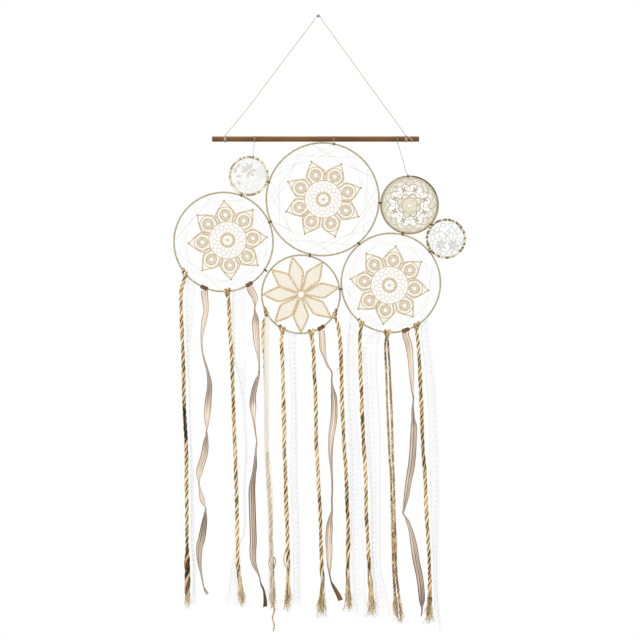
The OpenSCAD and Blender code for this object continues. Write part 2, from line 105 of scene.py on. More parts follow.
def lamp(name, location, size, watts):
    data = bpy.data.lights.new(name, "AREA")
    data.shape = "DISK"
    data.size = size
    data.energy = watts
    obj = add(name, data, location)
    aim(obj, LIT_POINT)


lamp("key", (-1.6, -2.6, 0.9), 1.2, 34)
lamp("rim", (1.8, 1.4, 0.4), 1.0, 14)

world = bpy.data.worlds.new("white")
world.use_nodes = True
sky = world.node_tree.nodes["Background"].inputs
sky["Color"].default_value = (1, 1, 1, 1)
sky["Strength"].default_value = 1.0
bpy.context.scene.world = world
bpy.context.scene.view_settings.view_transform = "Standard"

# ---- lines


def together(*series):
    """Series of one shape, or shapes that can be stretched to it, as one array's last axis."""
    return np.stack(np.broadcast_arrays(*series), -1)


def capped(rows):
    """The rows with the first and the last one doubled."""
    return np.concatenate([rows[:1], rows, rows[-1:]])


def smooth(points, n):
    """The same curve as the CAD's: Catmull-Rom through the points, n steps between two of them."""
    p = np.asarray(points, float)
    padded = capped(p)
    out = []
    for i in range(len(p) - 1):
        a, b, c, d = padded[i : i + 4]
        for t in np.arange(n) / n:
            bend, twist = 2 * a - 5 * b + 4 * c - d, 3 * b - a - 3 * c + d
            out.append(0.5 * (2 * b + (c - a) * t + bend * t**2 + twist * t**3))
    return np.array(out + [p[-1]])


def lengths(line):
    """Distance along the line at each of its points."""
    return np.concatenate([[0], np.cumsum(np.linalg.norm(np.diff(line, axis=0), axis=1))])


def evenly(line, step):
    """The line with its points about one step apart."""
    s = lengths(line)
    at = np.linspace(0, s[-1], max(2, int(round(s[-1] / step)) + 1))
    return together(*(np.interp(at, s, column) for column in line.T))


def upright(points, y=0.0):
    """[x, z] points as points in space, at depth y."""
    p = np.asarray(points, float)
    return together(p[:, 0], y, p[:, 1])


def polar(r, degrees):
    """[x, z] at this distance and angle from the origin."""
    a = np.radians(degrees)
    return together(r * np.cos(a), r * np.sin(a))


def on_hoop(h, angle):
    """[x, z] on the middle of a hoop's wire."""
    return HOOP_C[h] + polar(HOOP_R[h], angle)


def axes(line):
    """Direction of the line at each point, and two directions across it that don't spin."""
    t = np.gradient(line, axis=0)
    t /= np.linalg.norm(t, axis=1)[:, None]
    v = Y if abs(t[0][1]) < 0.9 else X
    across = np.zeros_like(t)
    for i, direction in enumerate(t):
        v = v - direction * v.dot(direction)
        v = v / np.linalg.norm(v)
        across[i] = v
    return t, across, np.cross(t, across)


def wander(n, step, reach):
    """A smooth random series of n values within +-1, a step apart, that changes over the reach."""
    knots = max(4, int(n * step / reach) + 3)
    return np.interp(np.linspace(0, knots - 1, n), np.arange(knots), rng.uniform(-1, 1, knots))


# ---- shapes
# A shape is (vertices, quads, straight, shade): straight is where a vertex would be if its thread
# were pulled straight, which the fibre patterns use, and shade is from 0, deep in a gap, to 1: a value
# that picks the colour. It holds painted shade in gaps and between parts, and the threads' own tone.

FIBRE_OFFSET = 900.0  # threads take their fibre pattern from places up to this far apart
END_SIZE = 0.002  # share of its radius that closes a tube's end


def per_point(value, n):
    """The value as n numbers, whether it is one or n already."""
    return np.broadcast_to(np.asarray(value, float), (n,))


def grid(rows, columns, closed):
    """Quads that join rows of points; closed also joins the last column to the first."""
    i, k = np.meshgrid(np.arange(rows - 1), np.arange(columns if closed else columns - 1), indexing="ij")
    k1 = (k + 1) % columns
    quads = together(i * columns + k, i * columns + k1, (i + 1) * columns + k1, (i + 1) * columns + k)
    return quads.reshape(-1, 4)


def surface(points, straight, shade, closed):
    """The shape through rows of points."""
    rows, columns = points.shape[:2]
    return points.reshape(-1, 3), grid(rows, columns, closed), straight.reshape(-1, 3), shade.ravel()


def tube(line, radius, sides=6, shade=0.7):
    """A tube with flat ends. The radius and the shade are one number, or one per point."""
    n = len(line)
    radius = capped(per_point(radius, n))
    radius[[0, -1]] *= END_SIZE
    _, across, other = (capped(rows) for rows in axes(line))
    angle = np.arange(sides) * 2 * math.pi / sides
    c, s = np.cos(angle)[None, :, None], np.sin(angle)[None, :, None]
    verts = capped(line)[:, None] + radius[:, None, None] * (c * across[:, None] + s * other[:, None])
    along = capped(lengths(line)) + rng.uniform(0, FIBRE_OFFSET)
    straight = together(along[:, None], radius[:, None] * np.cos(angle), radius[:, None] * np.sin(angle))
    value = np.repeat(capped(per_point(shade, n))[:, None], sides, 1)
    return surface(verts, straight, value, True)


def sheet(points, across, shade=0.7):
    """An open surface through rows of points; across is each column's distance from the middle."""
    along = lengths(points[:, points.shape[1] // 2])
    straight = together(along[:, None], np.asarray(across)[None, :], 0.0)
    return surface(points, straight, np.broadcast_to(np.asarray(shade, float), points.shape[:2]), False)


def ball(centre, r, shade=0.5):
    """A small upright ball, for knots."""
    rise = np.linspace(-1, 1, 6) * r
    line = np.asarray(centre, float) + together(0.0, 0.0, rise)
    return tube(line, np.sqrt(np.maximum(r * r - rise**2, 0.01)), 8, shade)


UNWOUND = 0.72  # share of their winding that quite loose plies have lost


def twisted(
    line, plies, ply_r, offset, pitch, sides=6, shade=0.0, lump=0.1, tone=0.0, gap=1.0, loose=0.0, mottle=0.0
):
    """Plies that wind round the line. Each size may be one number or one per point of the line.
    loose is from 0 to 1, where the plies hardly wind and their painted shade is evened out a little.
    lump is how much they swell, mottle how much their colour changes at random along them, and gap
    how sharply the painted shade darkens them towards each other, in the gaps between them."""
    n = len(line)
    ply_r, offset, loose, shade = (per_point(value, n) for value in (ply_r, offset, loose, shade))
    step = lengths(line)[1]
    _, across, other = axes(line)
    span = offset + ply_r
    turns = np.cumsum(np.full(n, step) * (1 - UNWOUND * loose)) / pitch
    uneven = 1.1 * wander(n, step, pitch * 1.3)
    parts = []
    for k in range(plies):
        a = 2 * math.pi * (turns + k / plies) + uneven
        centre = line + offset[:, None] * (np.cos(a)[:, None] * across + np.sin(a)[:, None] * other)
        radii = ply_r * (1 + lump * wander(n, step, pitch * 0.45))
        verts, quads, straight, _ = tube(centre, radii, sides)
        d = np.linalg.norm(verts.reshape(-1, sides, 3)[1:-1] - line[:, None], axis=2)
        # Painted shade: each ply darkens towards the line's middle, where the plies meet; mottle is their own
        # tone.
        value = np.clip((d / span[:, None] - 0.5) / 0.47, 0, 1) ** gap * 0.85 + 0.08 + tone
        if mottle:
            value = value + (mottle * wander(n, step, pitch * 0.35))[:, None]
        value = value + (0.5 - value) * 0.2 * loose[:, None] + shade[:, None]
        parts.append((verts, quads, straight, capped(value).ravel()))
    return parts


def twine(line, width, pitch=None, tone=0.0, sides=5):
    """A two-ply thread of this width, for crochet and strings."""
    pitch = pitch or width * 1.9
    return twisted(evenly(line, pitch / 6), 2, width * 0.28, width * 0.23, pitch, sides, tone=tone)


def struts(starts, ends, r, shade=0.8):
    """Many short straight threads at once, each from its start to its end, in the hoops' plane."""
    direction = ends - starts
    long = np.linalg.norm(direction, axis=1)[:, None]
    direction = direction / np.maximum(long, 1e-6)
    side = np.cross(direction, Y)
    corners = [side * r, Y * r, -side * r, -Y * r]
    verts = np.stack([p + c for p in (starts, ends) for c in np.broadcast_arrays(*corners)], 1)
    quads = [[k, (k + 1) % 4, 4 + (k + 1) % 4, 4 + k] for k in range(4)] + [[3, 2, 1, 0], [4, 5, 6, 7]]
    faces = (np.arange(len(starts))[:, None, None] * 8 + np.array(quads)).reshape(-1, 4)
    offsets = rng.uniform(0, FIBRE_OFFSET, (len(starts), 1))
    along = np.concatenate([np.repeat(offsets, 4, 1), np.repeat(offsets + long, 4, 1)], 1)
    ring = np.array([[r, 0], [0, r], [-r, 0], [0, -r]] * 2)
    straight = together(along, ring[None, :, 0], ring[None, :, 1])
    value = np.repeat(shade + rng.uniform(-0.08, 0.08, len(starts)), 8)
    return verts.reshape(-1, 3), faces, straight.reshape(-1, 3), value


def posts(a, b, n, r, shade=0.8):
    """Fine threads that zigzag between two lines of the same direction."""
    a, b = (evenly(line, lengths(line)[-1] / n) for line in (a, b))
    n = min(len(a), len(b))
    a, b = a[:n], b[:n]
    return [struts(np.vstack([a, b[:-1]]), np.vstack([b, a[1:]]), r, shade)]


def coil(centre, first, second, axis, radii, turns, pitch, thread, shade=0.5):
    """A thread wound about an axis, in an oval with these radii along its first and second side."""
    a = np.linspace(0, 2 * math.pi * turns, int(turns * 20))
    run = (a / (2 * math.pi) - turns / 2) * pitch
    jitter = 1 + 0.03 * wander(len(a), 1, 6)
    line = (
        np.asarray(centre)
        + (radii[0] * np.cos(a) * jitter)[:, None] * np.asarray(first)
        + (radii[1] * np.sin(a) * jitter)[:, None] * np.asarray(second)
        + run[:, None] * np.asarray(axis)
    )
    return tube(line, thread, 6, shade + 0.2 * wander(len(a), 1, 9))


def build(name, parts, paint, body=None, replaces=()):
    """One mesh object from shapes in millimetres."""
    starts = np.cumsum([0] + [len(p[0]) for p in parts[:-1]])
    quads = np.concatenate([p[1] + start for p, start in zip(parts, starts)])
    verts, straight, shade = (np.concatenate([p[k] for p in parts]) for k in (0, 2, 3))
    mesh = bpy.data.meshes.new(name)
    mesh.vertices.add(len(verts))
    mesh.vertices.foreach_set("co", (verts * MM).astype(np.float32).ravel())
    mesh.loops.add(quads.size)
    mesh.loops.foreach_set("vertex_index", quads.astype(np.int32).ravel())
    mesh.polygons.add(len(quads))
    mesh.polygons.foreach_set("loop_start", np.arange(0, quads.size, 4, dtype=np.int32))
    mesh.polygons.foreach_set("use_smooth", np.ones(len(quads), bool))
    mesh.update(calc_edges=True)
    pulled = mesh.attributes.new("straight", "FLOAT_VECTOR", "POINT")
    pulled.data.foreach_set("vector", straight.astype(np.float32).ravel())
    depth = mesh.attributes.new("shade", "FLOAT", "POINT")
    depth.data.foreach_set("value", np.clip(shade, 0, 1).astype(np.float32))
    mesh.materials.append(paint)
    obj = add(name, mesh)
    if body:
        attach(obj, body)
    if replaces:
        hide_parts(*replaces)
    return obj


# ---- materials


def colour(code):
    """A '#rrggbb' colour as linear light."""
    values = [int(code[k : k + 2], 16) / 255 for k in (1, 3, 5)]
    return [v / 12.92 if v <= 0.04045 else ((v + 0.055) / 1.055) ** 2.4 for v in values] + [1]


def blank(name, **sockets):
    """A new material, its nodes and links, and its shader with these inputs set."""
    made = bpy.data.materials.new(name)
    made.use_nodes = True
    shader = made.node_tree.nodes["Principled BSDF"]
    for socket, value in sockets.items():
        shader.inputs[socket.replace("_", " ")].default_value = value
    return made, made.node_tree.nodes, made.node_tree.links, shader


THREAD_GRAIN = (0.2, 2.0)


def fibre(name, stops, grain=THREAD_GRAIN, mix=0.5, rough=0.9, bump=0.3, sheen=0.0, alpha=1.0):
    """A material whose colour runs through the stops by the shade attribute, from painted shade in the gaps
    to painted light on the crests, broken up by fibres.
    grain is how often the fibres change per millimetre, along the thread and across it."""
    made, nodes, links, shader = blank(
        name, Roughness=rough, Specular_IOR_Level=0.25, Sheen_Weight=sheen, Alpha=alpha
    )
    straight = nodes.new("ShaderNodeAttribute")
    straight.attribute_name = "straight"
    shade = nodes.new("ShaderNodeAttribute")
    shade.attribute_name = "shade"
    stretch = nodes.new("ShaderNodeMapping")
    stretch.inputs["Scale"].default_value = (*grain, grain[1])
    noise = nodes.new("ShaderNodeTexNoise")
    noise.inputs["Scale"].default_value = 1.0
    noise.inputs["Detail"].default_value = 3.0
    spread = nodes.new("ShaderNodeMath")
    spread.operation = "MULTIPLY_ADD"
    spread.inputs[1].default_value = mix
    spread.inputs[2].default_value = -mix / 2
    total = nodes.new("ShaderNodeMath")
    total.operation = "ADD"
    ramp = nodes.new("ShaderNodeValToRGB")
    while len(ramp.color_ramp.elements) < len(stops):
        ramp.color_ramp.elements.new(0.5)
    for element, (position, code) in zip(ramp.color_ramp.elements, stops.items()):
        element.position = position
        element.color = colour(code)
    relief = nodes.new("ShaderNodeBump")
    relief.inputs["Strength"].default_value = bump
    relief.inputs["Distance"].default_value = 0.0004
    links.new(straight.outputs["Vector"], stretch.inputs["Vector"])
    links.new(stretch.outputs["Vector"], noise.inputs["Vector"])
    links.new(noise.outputs["Fac"], spread.inputs[0])
    links.new(spread.outputs["Value"], total.inputs[0])
    links.new(shade.outputs["Fac"], total.inputs[1])
    links.new(total.outputs["Value"], ramp.inputs["Fac"])
    links.new(ramp.outputs["Color"], shader.inputs["Base Color"])
    links.new(noise.outputs["Fac"], relief.inputs["Height"])
    links.new(relief.outputs["Normal"], shader.inputs["Normal"])
    return made


JUTE = fibre(
    "jute", {0.0: "#26190A", 0.25: "#5A4323", 0.5: "#A48857", 0.78: "#D0B688", 1.0: "#EDDCB8"},
    (0.05, 0.5), mix=1.1, bump=0.6, sheen=0.1,
)
HANGING_CORD = fibre("hanging cord", {0.0: "#4A4335", 0.5: "#9C937E", 1.0: "#C9C1AD"})
HOOP_THREAD = fibre(
    "hoop thread", {0.0: "#4A3F28", 0.45: "#9C8F6E", 0.8: "#C4B999", 1.0: "#DED6BE"}, (0.05, 1.5)
)
RING_TWINE = fibre(
    "ring twine", {0.0: "#33291A", 0.4: "#85744F", 0.75: "#D0C39F", 1.0: "#F0E9D4"}, (0.12, 1.2)
)
MANDALA_COTTON = fibre(
    "mandala cotton", {0.0: "#8C713E", 0.45: "#C6AE7E", 0.8: "#DFCFB0", 1.0: "#FAF8F3"}, mix=0.35
)
STAR_COTTON = fibre(
    "star cotton", {0.0: "#8A6C38", 0.4: "#BEA06E", 0.75: "#DECBA4", 1.0: "#F0EADD"}, mix=0.3
)
DOILY_COTTON = fibre(
    "doily cotton", {0.0: "#6A5530", 0.4: "#A8946A", 0.75: "#D2C9AD", 1.0: "#EFEBDC"}, mix=0.3
)
WHITE_LACE = fibre(
    "white lace", {0.0: "#C9C9D2", 0.6: "#E4E4EA", 1.0: "#F8F8FA"}, (0.3, 2.0), mix=0.3, bump=0.1
)
WEB_THREAD = fibre("web thread", {0.0: "#A5A196", 0.6: "#CFCCC4", 1.0: "#EBE9E4"}, (0.3, 2.0))
VOILE = fibre(
    "voile", {0.0: "#D2C9BC", 0.6: "#E6DFD3", 1.0: "#F4EFE6"}, (0.1, 0.6), mix=0.3, bump=0.1, alpha=0.85
)
VEIL = fibre(
    "veil", {0.0: "#CDBBA2", 0.6: "#E2D6C4", 1.0: "#F2EADD"}, (0.1, 0.6), mix=0.3, bump=0.1, alpha=0.5
)
MOTIF_COTTON = fibre("motif cotton", {0.0: "#8F8E82", 0.5: "#BDBDB2", 1.0: "#E6E6E0"}, (0.3, 2.0), mix=0.3)
LASHING = fibre("lashing thread", {0.0: "#241D10", 0.5: "#5B4E32", 1.0: "#95855C"})
RIBBON_BAND = fibre(
    "ribbon band", {0.0: "#2C1A08", 0.5: "#6A4522", 1.0: "#AA7F4B"},
    (0.25, 0.5), mix=0.9, rough=0.45, bump=0.15,
)
SATIN = fibre(
    "satin edge", {0.0: "#3A220C", 0.5: "#8E6436", 1.0: "#C79C68"}, (0.1, 1.5), rough=0.4, bump=0.1
)
SHEER = fibre(
    "sheer ribbon", {0.0: "#4A2F17", 0.5: "#B8A088", 1.0: "#EADFD3"},
    (0.02, 0.9), mix=0.9, rough=0.6, bump=0.1, alpha=0.9,
)
WOOD = fibre(
    "dowel wood", {0.0: "#35210D", 0.45: "#66441F", 0.75: "#7F5829", 1.0: "#A97F49"},
    (0.03, 0.9), mix=0.7, rough=0.6, bump=0.25,
)


def plain(name, code, rough, metallic=0.0):
    """A nearly even material, with a little cloudiness so that it isn't flat."""
    made, nodes, links, shader = blank(name, Metallic=metallic, Roughness=rough)
    place = nodes.new("ShaderNodeTexCoord")
    noise = nodes.new("ShaderNodeTexNoise")
    noise.inputs["Scale"].default_value = 60.0
    ramp = nodes.new("ShaderNodeValToRGB")
    base = colour(code)
    ramp.color_ramp.elements[0].color = [v * 0.92 for v in base[:3]] + [1]
    ramp.color_ramp.elements[1].color = base
    links.new(place.outputs["Object"], noise.inputs["Vector"])
    links.new(noise.outputs["Fac"], ramp.inputs["Fac"])
    links.new(ramp.outputs["Color"], shader.inputs["Base Color"])
    return made


# ---- floor, in metres

FLOOR_R = 2.4
FLOOR_Z = -1.9
FLOOR_SIDES = 96


def disc_mesh(name, radius, sides):
    mesh = bpy.data.meshes.new(name)
    ring = [(radius * math.cos(a), radius * math.sin(a), 0) for a in np.arange(sides) * 2 * math.pi / sides]
    mesh.from_pydata(ring, [], [list(range(sides))])
    return mesh


floor = add("floor", disc_mesh("floor", FLOOR_R, FLOOR_SIDES), (0, 0, FLOOR_Z))
floor.data.materials.append(plain("floor", "#F4F3F1", 0.9))

# ---- hoop wires, which are the CAD's own

STEEL = plain("hoop wire", "#8C8882", 0.35, metallic=1.0)
for h in HOOPS:
    wire = frame["nodes"]["hoop_" + h]
    wire.data.materials.clear()
    wire.data.materials.append(STEEL)

# ---- the fringe's routes, as in the CAD

ROPES = {
    "rope_1": [
        (-297, -590), (-302, -607), (-302, -640), (-301, -673), (-298, -740), (-296, -800), (-295, -871),
        (-292, -915), (-290, -970), (-290, -1025), (-289, -1090), (-289, -1157), (-288, -1212),
        (-288, -1267), (-286, -1300),
    ],
    "rope_2": [
        (-197, -632), (-196, -660), (-195, -695), (-192, -728), (-190, -765), (-189, -805), (-187, -850),
        (-186, -893), (-183, -959), (-181, -1025), (-179, -1090), (-178, -1157), (-176, -1223),
        (-171, -1262), (-169, -1294),
    ],
    "rope_3": [
        (-118, -672), (-121, -688), (-121, -708), (-120, -728), (-119, -750), (-117, -800), (-115, -849),
        (-114, -893), (-113, -937), (-111, -1003), (-107, -1069), (-104, -1115), (-104, -1157),
        (-102, -1201), (-101, -1255), (-101, -1302),
    ],
    "rope_4": [
        (-81, -710), (-81, -728), (-79, -760), (-78, -794), (-77, -838), (-76, -882), (-75, -920),
        (-75, -959), (-73, -995), (-72, -1025), (-71, -1069), (-69, -1113), (-68, -1145), (-67, -1179),
        (-66, -1245), (-66, -1305),
    ],
    "rope_5": [
        (-12, -728), (-10, -760), (-9, -794), (-7, -820), (-6, -849), (-5, -893), (-5, -937), (-2, -980),
        (0, -1025), (2, -1060), (4, -1091), (5, -1135), (7, -1201), (9, -1245), (8, -1280), (6, -1317),
    ],
    "rope_6": [
        (41, -676), (44, -690), (48, -717), (50, -755), (51, -794), (52, -849), (54, -893), (56, -937),
        (59, -980), (62, -1025), (63, -1069), (65, -1110), (66, -1157), (65, -1190), (65, -1250),
        (66, -1305),
    ],
    "rope_7": [
        (92, -700), (91, -728), (92, -760), (93, -794), (95, -835), (96, -871), (98, -905), (99, -937),
        (102, -981), (104, -1015), (105, -1047), (106, -1113), (109, -1160), (111, -1201), (115, -1256),
        (118, -1317),
    ],
    "rope_8_left": [
        (148, -717), (147, -735), (148, -761), (150, -805), (151, -849), (153, -893), (155, -937),
        (157, -981), (159, -1000), (160, -1030), (161, -1064), (162, -1100), (163, -1135), (165, -1223),
        (168, -1270), (171, -1326),
    ],
    "rope_8_right": [
        (153, -717), (154, -735), (156, -761), (158, -805), (160, -849), (162, -893), (163, -937),
        (164, -981), (165, -1000), (166, -1030), (167, -1064), (168, -1100), (169, -1135), (171, -1223),
        (176, -1267), (183, -1333),
    ],
    "rope_9": [
        (217, -704), (219, -720), (222, -761), (224, -795), (225, -827), (227, -860), (228, -893),
        (230, -959), (234, -1003), (237, -1069), (240, -1135), (243, -1179), (245, -1245), (245, -1288),
        (244, -1310), (244, -1333),
    ],
}
# Stations of the ribbons: x, z, and how far the ribbon has turned about its own line, in degrees
RIBBONS = {
    "ribbon_1": [
        (-250, -618, 5), (-247, -651, 37), (-251, -673, 37), (-256, -706, 62), (-256, -739, 78),
        (-254, -752, 90), (-248, -770, 105), (-243, -787, 110), (-239, -816, 132), (-242, -849, 158),
        (-245, -893, 217), (-245, -919, 270), (-247, -937, 307), (-251, -970, 355), (-261, -1003, 370),
        (-263, -1029, 435), (-260, -1047, 422), (-255, -1069, 400), (-249, -1089, 450), (-250, -1113, 492),
        (-257, -1157, 540), (-261, -1168, 550), (-262, -1201, 583), (-257, -1234, 610), (-251, -1260, 622),
        (-244, -1276, 650),
    ],
    "ribbon_2": [
        (-146, -612, 0), (-140, -622, 20), (-139, -638, 66), (-141, -649, 90), (-138, -662, 122),
        (-138, -684, 180), (-136, -717, 201), (-132, -750, 238), (-129, -785, 270), (-135, -805, 302),
        (-141, -827, 317), (-144, -849, 330), (-143, -875, 397), (-141, -897, 426), (-138, -926, 442),
        (-137, -944, 450), (-139, -992, 482), (-142, -1014, 487), (-146, -1047, 519), (-145, -1091, 540),
        (-143, -1157, 540), (-144, -1179, 545), (-143, -1201, 570), (-139, -1216, 587), (-129, -1238, 618),
        (-124, -1256, 630), (-120, -1267, 641), (-117, -1289, 658), (-117, -1304, 667),
    ],
    "ribbon_3": [
        (8, -706, 20), (9, -728, 20), (10, -739, 30), (14, -754, 62), (20, -772, 71), (28, -787, 88),
        (29, -805, 98), (32, -827, 122), (34, -842, 150), (35, -860, 159), (34, -893, 180), (30, -919, 201),
        (28, -937, 217), (27, -970, 233), (29, -1003, 251), (31, -1036, 258), (31, -1069, 270),
        (30, -1091, 289), (26, -1113, 313), (24, -1135, 355), (23, -1157, 360), (24, -1179, 380),
        (24, -1212, 408), (25, -1240, 448), (32, -1256, 422), (44, -1278, 405), (49, -1290, 400),
    ],
    "ribbon_4": [
        (193, -710, 0), (199, -728, 0), (203, -761, 37), (205, -794, 48), (207, -827, 70), (208, -845, 90),
        (208, -871, 118), (209, -893, 127), (210, -908, 159), (209, -937, 170), (208, -959, 180),
        (205, -992, 183), (199, -1025, 210), (194, -1058, 223), (189, -1085, 250), (188, -1098, 268),
        (195, -1113, 242), (203, -1135, 233), (210, -1168, 200), (215, -1201, 180), (222, -1234, 176),
        (226, -1262, 170), (228, -1289, 150), (228, -1307, 106), (225, -1324, 95),
    ],
}
# Edges of the lace strips: left x, right x, z
LACES = {
    "lace_1": [
        (-289, -272, -593), (-293, -274, -631), (-291, -279, -695), (-290, -283, -739), (-288, -283, -794),
        (-285, -281, -849), (-283, -279, -937), (-281, -274, -1025), (-281, -274, -1157),
        (-277, -270, -1212), (-277, -270, -1298),
    ],
    "lace_2": [
        (-188, -163, -620), (-189, -160, -690), (-189, -160, -761), (-179, -160, -783), (-168, -161, -849),
        (-163, -158, -915), (-161, -155, -959), (-165, -160, -1047), (-165, -160, -1135),
        (-176, -170, -1165), (-188, -183, -1192), (-196, -181, -1245), (-204, -177, -1300),
    ],
    "lace_3": [
        (-117, -106, -673), (-119, -108, -739), (-119, -108, -937), (-116, -104, -1003), (-113, -99, -1069),
        (-110, -100, -1157), (-109, -99, -1290),
    ],
    "lace_4": [
        (-67, -49, -708), (-64, -48, -780), (-60, -47, -849), (-61, -45, -1025), (-57, -42, -1113),
        (-55, -41, -1201), (-54, -40, -1300),
    ],
    "lace_5": [
        (70, 86, -679), (64, 83, -717), (64, 85, -805), (67, 88, -893), (71, 92, -981), (73, 96, -1069),
        (75, 99, -1157), (77, 103, -1245), (83, 106, -1328),
    ],
    "lace_6": [
        (131, 140, -704), (102, 131, -728), (104, 130, -805), (108, 136, -893), (111, 138, -981),
        (116, 137, -1069), (117, 137, -1157), (120, 139, -1223), (125, 149, -1267), (129, 160, -1328),
    ],
    "lace_7": [
        (226, 240, -683), (228, 245, -717), (238, 256, -805), (244, 261, -893), (246, 265, -981),
        (248, 266, -1069), (251, 264, -1157), (253, 262, -1201), (255, 263, -1267), (257, 267, -1311),
        (268, 270, -1357),
    ],
}

# ---- ropes

ROPE_D = 9.0
STRAND_D = 5.0
ROPE_PITCH = 46.0  # length in which a rope's strands wind once round it
ROPE_STEP = 3.0
START_GAP = 1.0  # from the hinge down to where the rope's own line starts
FRAYED = 0.8  # share of the fray's length that the twisted body leaves free
KNOT_SIZE = 0.78  # share of its size that a rope has where it leaves its knot
KNOT_REACH = 40.0  # it would grow by its whole size over this length
OPENS_OVER = 55.0  # length over which the strands come loose
FUZZ_STEP = 4.0  # length of rope for each loose fibre


def body_of(name):
    """The body of a rope. Both strands of rope_8 hang on one."""
    return "rope_8" if name.startswith("rope_8") else name


def rope_line(name, shift):
    hinge = HINGES[body_of(name)][[0, 2]]
    return upright(smooth([hinge + (shift, -START_GAP)] + ROPES[name], 2))


def bump_between(z, low, high, soft=18.0):
    """1 for heights between low and high, falling to 0 over a soft edge."""
    return np.clip((z - low) / soft + 1, 0, 1) * np.clip((high - z) / soft + 1, 0, 1)


def fuzz(line, reach, count, limit):
    """Short loose fibres that stand off the rope, no further than the limit."""
    _, n, b = axes(line)
    steps = np.linspace(0, 1, 4)
    parts = []
    for _ in range(count):
        i = rng.integers(2, len(line) - 8)
        a, turn = rng.uniform(0, 2 * math.pi), rng.uniform(-1.0, 1.0)
        angle = a + turn * steps
        out = np.minimum(reach[i] * (0.72 + 0.75 * steps**0.8 * rng.uniform(0.5, 1.0)), limit)
        run = min(len(line) - 1, i + 6)
        spine = line[i] + (line[run] - line[i]) * steps[:, None] * rng.uniform(0.4, 1.0)
        hair = spine + out[:, None] * (np.cos(angle)[:, None] * n[i] + np.sin(angle)[:, None] * b[i])
        parts.append(tube(hair, 0.16, 3, rng.uniform(0.55, 1.0)))
    return parts


def fray(line, count, long, spread, start_r):
    """Fibres that leave the rope along its last part and spray from its end, mostly away from the wall."""
    end = line[-1]
    direction = (end - line[-5]) / np.linalg.norm(end - line[-5])
    t = np.linspace(0, 1, 12)
    parts = []
    for _ in range(count):
        side = rng.normal(0, 1, 3) * (1, 0.4, 0.1) - (0, 0.35, 0)
        side /= max(np.linalg.norm(side), 1e-6)
        back = rng.uniform(2, 48)
        root = end - direction * back + side * rng.uniform(0.3, 1.0) * start_r
        reach = back + long * rng.uniform(0.15, 1.1)
        out = spread * rng.uniform(-0.4, 0.8)
        curl = rng.normal(0, 2.9, 3) * (1, 0.15, 0)
        hair = root + direction * (t * reach)[:, None] + side * (out * t**1.6)[:, None]
        hair = hair + curl * (np.sin(t * math.pi * rng.uniform(1.5, 4.5)) * t)[:, None]
        thick = rng.choice([0.3, 0.45, 0.9])
        parts.append(tube(hair, np.linspace(thick, 0.4 * thick, 12), 4, rng.uniform(0.35, 1.15)))
    return parts


# For each rope: the height where its strands begin to loosen, the fray's count, length and spread,
# and the places (low, high, amount) where it swells or thins, and where it is paler or darker. The two
# strands of rope_8 also have their own diameter, pitch, tint and sideways shift at the hinge.
STRAND = dict(
    d=STRAND_D, loosen=-1240, ends=(45, 28, 9), swell=[(-1340, -760, 0.1), (-1340, -1130, 0.16)], tint=-0.2
)
ROPE_LOOKS = {
    "rope_1": dict(
        loosen=-1200, ends=(55, 24, 5), swell=[(-1268, -1205, 0.5)],
        tone=[(-919, -874, -0.7), (-1300, -925, -0.08), (-1300, -1180, -0.16)],
    ),
    "rope_2": dict(loosen=-1190, ends=(85, 32, 10), tone=[(-1300, -1250, 0.15), (-1250, -630, 0.05)]),
    "rope_3": dict(
        loosen=-1120, ends=(75, 36, 13), swell=[(-1000, -735, -0.2)], tone=[(-1000, -728, 0.18)]
    ),
    "rope_4": dict(
        loosen=-1165, ends=(85, 38, 13), swell=[(-900, -860, 0.1), (-1100, -1060, 0.12)],
        tone=[(-1300, -710, 0.06)],
    ),
    "rope_5": dict(loosen=-1190, ends=(90, 36, 14)),
    "rope_6": dict(loosen=-1150, ends=(90, 36, 13)),
    "rope_7": dict(loosen=-1170, ends=(100, 36, 14)),
    "rope_8_left": dict(shift=-1.5, pitch=16.0, **STRAND),
    "rope_8_right": dict(shift=1.5, pitch=22.0, **STRAND),
    "rope_9": dict(loosen=-1240, ends=(85, 32, 13), tone=[(-1120, -690, -0.18)]),
}


def make_rope(name, loosen, ends, swell=(), tone=(), d=ROPE_D, shift=0.0, pitch=ROPE_PITCH, tint=0.0):
    """A rope's twisted body with its loose fibres, and its fray as a piece of its own."""
    route = rope_line(name, shift)
    line = evenly(route, ROPE_STEP)
    line = line[: -int(FRAYED * ends[1] / ROPE_STEP)]
    z = line[:, 2]
    top, low = z[0], z[-1]
    size = np.minimum(1, KNOT_SIZE + (top - z) / KNOT_REACH)
    for a, b, amount in swell:
        size = size * (1 + amount * bump_between(z, a, b))
    size = size * (1 + 0.1 * wander(len(z), ROPE_STEP, 24))
    opened = np.clip((loosen - z) / OPENS_OVER, 0, 1)
    shade = 0.14 * wander(len(z), ROPE_STEP, 45)
    for a, b, amount in tone:
        shade = shade + amount * bump_between(z, a, b)
    half = d / 2 * size
    ply_r = half * (0.5 - 0.08 * opened)
    offset = half * (0.5 + (0.3 + 0.25 * wander(len(z), ROPE_STEP, 20)) * opened)
    offset = np.minimum(offset, 0.65 * d + 1.8 - 1.3 * ply_r)
    # The plies get painted shade in the gaps between them, sharpened by gap; shade here is the rope's own
    # paler and darker places.
    parts = twisted(
        line, 3, ply_r, offset, pitch, 8, shade=shade, lump=0.28,
        tone=tint, gap=1.7, loose=opened, mottle=0.22,
    )
    parts += fuzz(line, half, int((top - low) / FUZZ_STEP), 0.75 * d + 0.5)
    obj = build(name + "_jute", parts, JUTE, replaces=[name])
    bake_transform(obj)
    loose = fray(line, *ends, d * 0.42) + rope_extras(name, line)
    tuft = build(name + "_fray", loose, JUTE, body_of(name))


